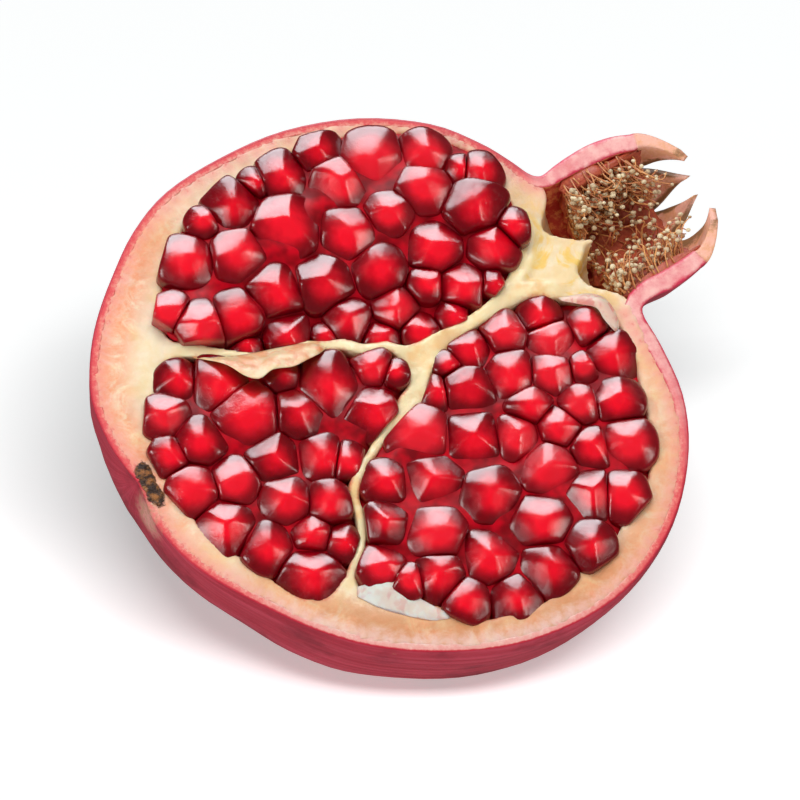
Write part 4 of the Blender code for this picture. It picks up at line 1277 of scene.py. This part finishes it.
@dataclass
class Studio:
    """Floor, lights and camera."""

    floor_size: float = 6.0
    view_up: float = 28.0
    view_turn: float = -10.0
    distance: float = 2.0
    lens: float = 600.0
    shift_right: float = 1.2
    shift_up: float = -1.8
    ambient: float = 0.08

    def floor(self) -> bpy.types.Object:
        """Lay the floor."""
        deselect()
        bpy.ops.mesh.primitive_plane_add(size=self.floor_size)
        floor = bpy.context.object
        floor.name = "floor"
        floor.visible_glossy = False
        floor.data.materials.append(FloorFinish().make())
        return floor

    def lights(self, floor: bpy.types.Object) -> None:
        """Hang the softboxes and set the dim room light.

        Args:
            floor: The floor, which only its own softbox lights.
        """
        target = Vector(FACE.middle) * MM
        groups = {}
        for state in ("INCLUDE", "EXCLUDE"):
            groups[state] = bpy.data.collections.new("floor_" + state.lower())
            groups[state].objects.link(floor)
            groups[state].collection_objects[0].light_linking.link_state = state
        for panel in Panel:
            name, place, size, colour, radiance, shines, fills = panel.value
            light = bpy.data.lights.new(name, "AREA")
            light.shape = "RECTANGLE"
            light.size, light.size_y = size
            light.color = colour
            light.energy = radiance * size[0] * size[1] * math.pi
            lamp = bpy.data.objects.new(name, light)
            lamp.location = place
            lamp.visible_glossy = shines
            lamp.visible_diffuse = fills
            state = "INCLUDE" if panel is Panel.SWEEP else "EXCLUDE"
            lamp.light_linking.receiver_collection = groups[state]
            lamp.rotation_euler = (target - Vector(place)).to_track_quat("-Z", "Y").to_euler()
            bpy.context.scene.collection.objects.link(lamp)
        world = bpy.data.worlds.new("room")
        world.use_nodes = True
        world.node_tree.nodes["Background"].inputs["Color"].default_value = (1.0, 1.0, 1.0, 1.0)
        world.node_tree.nodes["Background"].inputs["Strength"].default_value = self.ambient
        bpy.context.scene.world = world
        bpy.context.scene.view_settings.view_transform = "Standard"

    def camera(self) -> None:
        """Place the camera at the photograph's angle."""
        up, turn = math.radians(self.view_up), math.radians(self.view_turn)
        back = Vector((math.sin(turn) * math.cos(up), -math.cos(turn) * math.cos(up), math.sin(up)))
        right = Vector((math.cos(turn), math.sin(turn), 0.0))
        top = back.cross(right)
        aim = (Vector(FACE.middle) + right * self.shift_right + top * self.shift_up) * MM
        data = bpy.data.cameras.new("camera")
        data.lens = self.lens
        data.sensor_width = 36.0
        data.clip_start = 0.01
        camera = bpy.data.objects.new("camera", data)
        camera.location = aim + back * self.distance
        camera.rotation_euler = back.to_track_quat("Z", "Y").to_euler()
        bpy.context.scene.collection.objects.link(camera)
        bpy.context.scene.camera = camera


UPPER = SeedChamber(
    node="arils_upper",
    outline=(
        (-32.5, 11.2), (-33.1, 14.9), (-32.1, 19.9), (-28.8, 27.4), (-24.3, 31.9), (-18.1, 36.3),
        (-10.8, 39.3), (-3.6, 41.4), (4.8, 41.8), (12.1, 40.2), (18.2, 36.8), (20.8, 32.8), (22.4, 27.4),
        (22.8, 22.7), (20.0, 16.7), (16.7, 13.0), (12.0, 10.0), (6.8, 7.8), (2.8, 6.3), (-0.2, 7.4),
        (-3.6, 7.3), (-6.7, 8.5), (-11.0, 8.4), (-14.4, 8.1), (-18.5, 7.5), (-22.7, 7.8), (-26.7, 9.2),
        (-30.0, 9.8),
    ),
    rows=(
        SeedRow(4.2, (
            (-32.4, 14.7, 6.3), (-28.4, 22.8, 7.9), (-25.3, 28.7, 4.3), (-20.3, 31.1, 7.9), (-16.6, 34.6, 4.2),
            (-12.2, 35.5, 7.2), (-6.2, 39.1, 6.8), (1.8, 36.5, 9.6), (9.8, 37.1, 7.2), (15.0, 34.0, 4.2),
            (18.0, 33.4, 6.1), (21.5, 23.9, 5.2),
        )),
        SeedRow(5.4, (
            (-27.9, 11.7, 7.6), (-20.8, 23.0, 7.9), (-13.0, 27.0, 10.2), (-3.9, 33.3, 8.2), (2.9, 27.4, 6.1),
            (9.0, 31.5, 7.8), (16.3, 27.5, 8.8),
        )),
        SeedRow(4.4, (
            (-21.9, 13.0, 7.5), (-15.7, 16.6, 7.8), (-8.1, 17.1, 7.9), (-3.5, 24.9, 8.2), (0.4, 18.8, 7.9),
            (9.2, 21.8, 8.1), (18.1, 21.0, 7.3),
        )),
        SeedRow(3.0, (
            (-14.6, 9.7, 7.0), (-5.1, 11.5, 7.0), (2.2, 12.7, 6.3), (7.4, 16.0, 5.0), (12.8, 15.5, 6.9),
            (17.6, 14.7, 4.8),
        )),
        SeedRow(1.6, (
            (-20.8, 9.0, 3.9), (-8.9, 9.4, 3.9), (-0.5, 8.7, 5.5), (5.4, 9.0, 5.4), (11.0, 10.7, 4.6),
        )),
    ),
    seed=20,
)
LOWER_LEFT = SeedChamber(
    node="arils_lower_left",
    outline=(
        (-33.0, 7.6), (-35.1, 3.7), (-36.7, -1.1), (-36.8, -6.4), (-35.7, -11.6), (-32.9, -17.5),
        (-30.0, -22.7), (-25.2, -26.1), (-21.3, -30.3), (-18.1, -32.8), (-14.4, -33.0), (-11.7, -30.3),
        (-9.2, -25.9), (-8.3, -21.7), (-9.1, -16.5), (-7.1, -12.9), (-4.0, -8.4), (-0.8, -4.9), (0.6, -2.0),
        (2.4, 0.4), (2.2, 3.6), (-0.3, 5.9), (-4.1, 5.6), (-7.3, 6.7), (-11.3, 6.1), (-15.5, 5.4),
        (-20.8, 6.0), (-26.4, 7.1),
    ),
    rows=(
        SeedRow(3.0, (
            (-32.1, 3.7, 6.0), (-26.0, 2.7, 8.5), (-16.3, 2.9, 4.6), (-9.5, 1.0, 9.4), (-2.6, 3.3, 5.8),
            (0.6, 1.8, 3.8),
        )),
        SeedRow(3.6, (
            (-34.9, -2.1, 6.3), (-30.3, -6.7, 6.8), (-22.5, -2.7, 9.6), (-14.6, -3.1, 7.8), (-3.3, -3.8, 8.2),
        )),
        SeedRow(3.0, (
            (-35.0, -8.4, 5.5), (-32.3, -14.1, 7.8), (-25.9, -13.2, 6.9), (-19.4, -10.2, 7.2),
            (-12.3, -10.6, 6.6), (-8.4, -11.7, 5.7),
        )),
        SeedRow(3.0, (
            (-28.1, -20.3, 8.2), (-18.4, -17.2, 7.0), (-12.2, -18.1, 6.3),
        )),
        SeedRow(2.6, (
            (-22.1, -24.4, 7.2), (-15.4, -23.0, 5.8), (-10.9, -24.5, 5.1), (-16.4, -29.2, 8.4),
        )),
    ),
    seed=21,
)
LOWER_RIGHT = SeedChamber(
    node="arils_lower_right",
    outline=(
        (-8.5, -32.9), (-9.5, -30.3), (-7.8, -26.0), (-6.9, -21.8), (-7.4, -17.2), (-5.6, -13.0), (-2.4, -8.9),
        (1.2, -5.5), (4.6, -2.4), (6.1, 1.4), (9.0, 5.5), (13.0, 8.1), (18.0, 10.9), (22.7, 12.5),
        (28.5, 12.1), (33.1, 10.5), (36.2, 6.3), (37.6, 1.2), (37.6, -5.4), (38.1, -12.0), (35.8, -19.7),
        (31.8, -25.0), (28.5, -29.7), (23.4, -32.8), (19.0, -36.2), (14.2, -38.1), (8.0, -38.6), (3.7, -36.7),
        (-0.6, -34.8), (-4.7, -33.9),
    ),
    rows=(
        SeedRow(2.4, (
            (6.6, -1.7, 5.2), (9.0, 2.7, 4.3), (12.5, 5.2, 6.5), (18.1, 7.5, 6.3), (24.0, 9.8, 5.8),
            (25.2, 5.6, 7.2), (30.7, 7.3, 5.1), (34.0, 2.3, 7.5),
        )),
        SeedRow(3.0, (
            (11.2, -1.5, 7.9), (18.0, 0.3, 7.6), (24.2, -0.2, 6.6), (29.0, 0.3, 4.2), (33.4, -5.2, 7.2),
        )),
        SeedRow(3.4, (
            (2.8, -8.3, 9.4), (10.9, -9.8, 8.7), (20.2, -5.2, 6.3), (27.6, -5.7, 5.7), (34.0, -12.4, 7.8),
        )),
        SeedRow(3.2, (
            (-3.4, -15.6, 6.3), (3.9, -15.9, 8.7), (17.6, -10.1, 6.8), (24.0, -9.0, 6.5), (28.5, -13.0, 6.1),
            (32.3, -20.9, 7.2),
        )),
        SeedRow(3.4, (
            (-4.3, -22.3, 6.0), (3.1, -24.5, 8.1), (12.2, -19.2, 8.2), (21.4, -15.7, 8.8), (27.4, -20.4, 7.0),
        )),
        SeedRow(3.0, (
            (-5.7, -29.2, 6.3), (-1.8, -32.0, 4.6), (2.7, -31.6, 7.0), (10.7, -28.9, 8.1), (19.2, -23.9, 8.5),
            (26.1, -28.6, 6.6),
        )),
        SeedRow(2.2, (
            (6.4, -35.6, 6.3), (13.7, -35.6, 6.8), (19.3, -31.3, 7.9),
        )),
    ),
    seed=22,
)


FLAP = Membrane(
    "flap",
    first=((-29.5, 7.4, 0.6), (-22.5, 6.9, 1.2), (-16.0, 7.6, 1.4), (-11.5, 8.0, 1.2), (-9.0, 7.2, 0.8)),
    second=((-29.5, 7.3, 0.8), (-25.2, 4.6, 3.6), (-22.6, 2.0, 4.6), (-20.4, 1.2, 4.8), (-18.2, 2.6, 4.6),
            (-15.0, 3.0, 4.2), (-12.6, 4.2, 3.6), (-10.4, 5.6, 2.4), (-9.0, 7.1, 1.0)),
)
TORN = Membrane(
    "torn",
    first=((-9.9, -33.4, 0.1), (-7.0, -35.4, 0.1), (-3.9, -36.8, 0.1), (0.5, -38.2, 0.1), (3.4, -38.2, 0.1)),
    second=((-9.8, -32.0, 0.6), (-7.2, -31.7, 1.0), (-4.4, -31.3, 1.4), (-2.2, -30.3, 1.9), (-2.6, -33.0, 1.2),
            (-0.6, -34.9, 0.9), (3.5, -37.6, 0.4)),
    bulge=0.1, wrinkle=0.25, thickness=0.25,
)
VEIL = Membrane(
    "veil",
    first=((27.0, 12.4, 0.4), (31.1, 12.6, 0.7), (33.6, 11.9, 0.8), (35.1, 9.9, 0.7), (35.7, 7.2, 0.5), (35.2, 5.9, 0.3)),
    second=((27.4, 11.6, 0.9), (30.1, 10.5, 1.5), (32.4, 9.6, 1.7), (33.2, 7.9, 1.6), (34.3, 6.3, 1.2), (35.1, 5.8, 0.5)),
    bulge=0.5, wrinkle=0.12,
)


def main() -> None:
    """Build the studio and the dressed fruit."""
    logging.basicConfig(level=logging.INFO, format="%(name)s: %(message)s")
    studio = Studio()
    studio.camera()
    studio.lights(studio.floor())
    rind = Rind()
    rind.build(RindFinish().make())
    chambers = (UPPER, LOWER_LEFT, LOWER_RIGHT)
    curves = {chamber.node: chamber.curve() for chamber in chambers}
    Pith(rind, curves).build(PithFinish().make())
    flesh, web = SeedFinish().make(), WebFinish().make()
    for chamber in chambers:
        chamber.build(flesh, web, [curve for node, curve in curves.items() if node != chamber.node])
    flap = SheetFinish("flap", (0.93, 0.66, 0.40), (0.90, 0.42, 0.20), (0.80, 0.20, 0.08), 0.5).make()
    torn = SheetFinish("torn", (0.95, 0.84, 0.74), (0.94, 0.68, 0.58), (0.86, 0.36, 0.33), 0.6).make()
    veil = SheetFinish("veil", (0.82, 0.66, 0.52), (0.86, 0.56, 0.46), (0.70, 0.10, 0.10), 0.6).make()
    FLAP.build(flap)
    TORN.build(torn)
    VEIL.build(veil)
    Stamens(rind).build(
        StamenFinish("filament", (0.86, 0.42, 0.14), (0.46, 0.12, 0.05)).make(),
        StamenFinish("anther", (0.96, 0.84, 0.56), (0.50, 0.34, 0.18)).make(),
        StamenFinish("mat", (0.66, 0.17, 0.06), (0.34, 0.022, 0.018)).make(),
    )


if __name__ == "__main__":
    main()
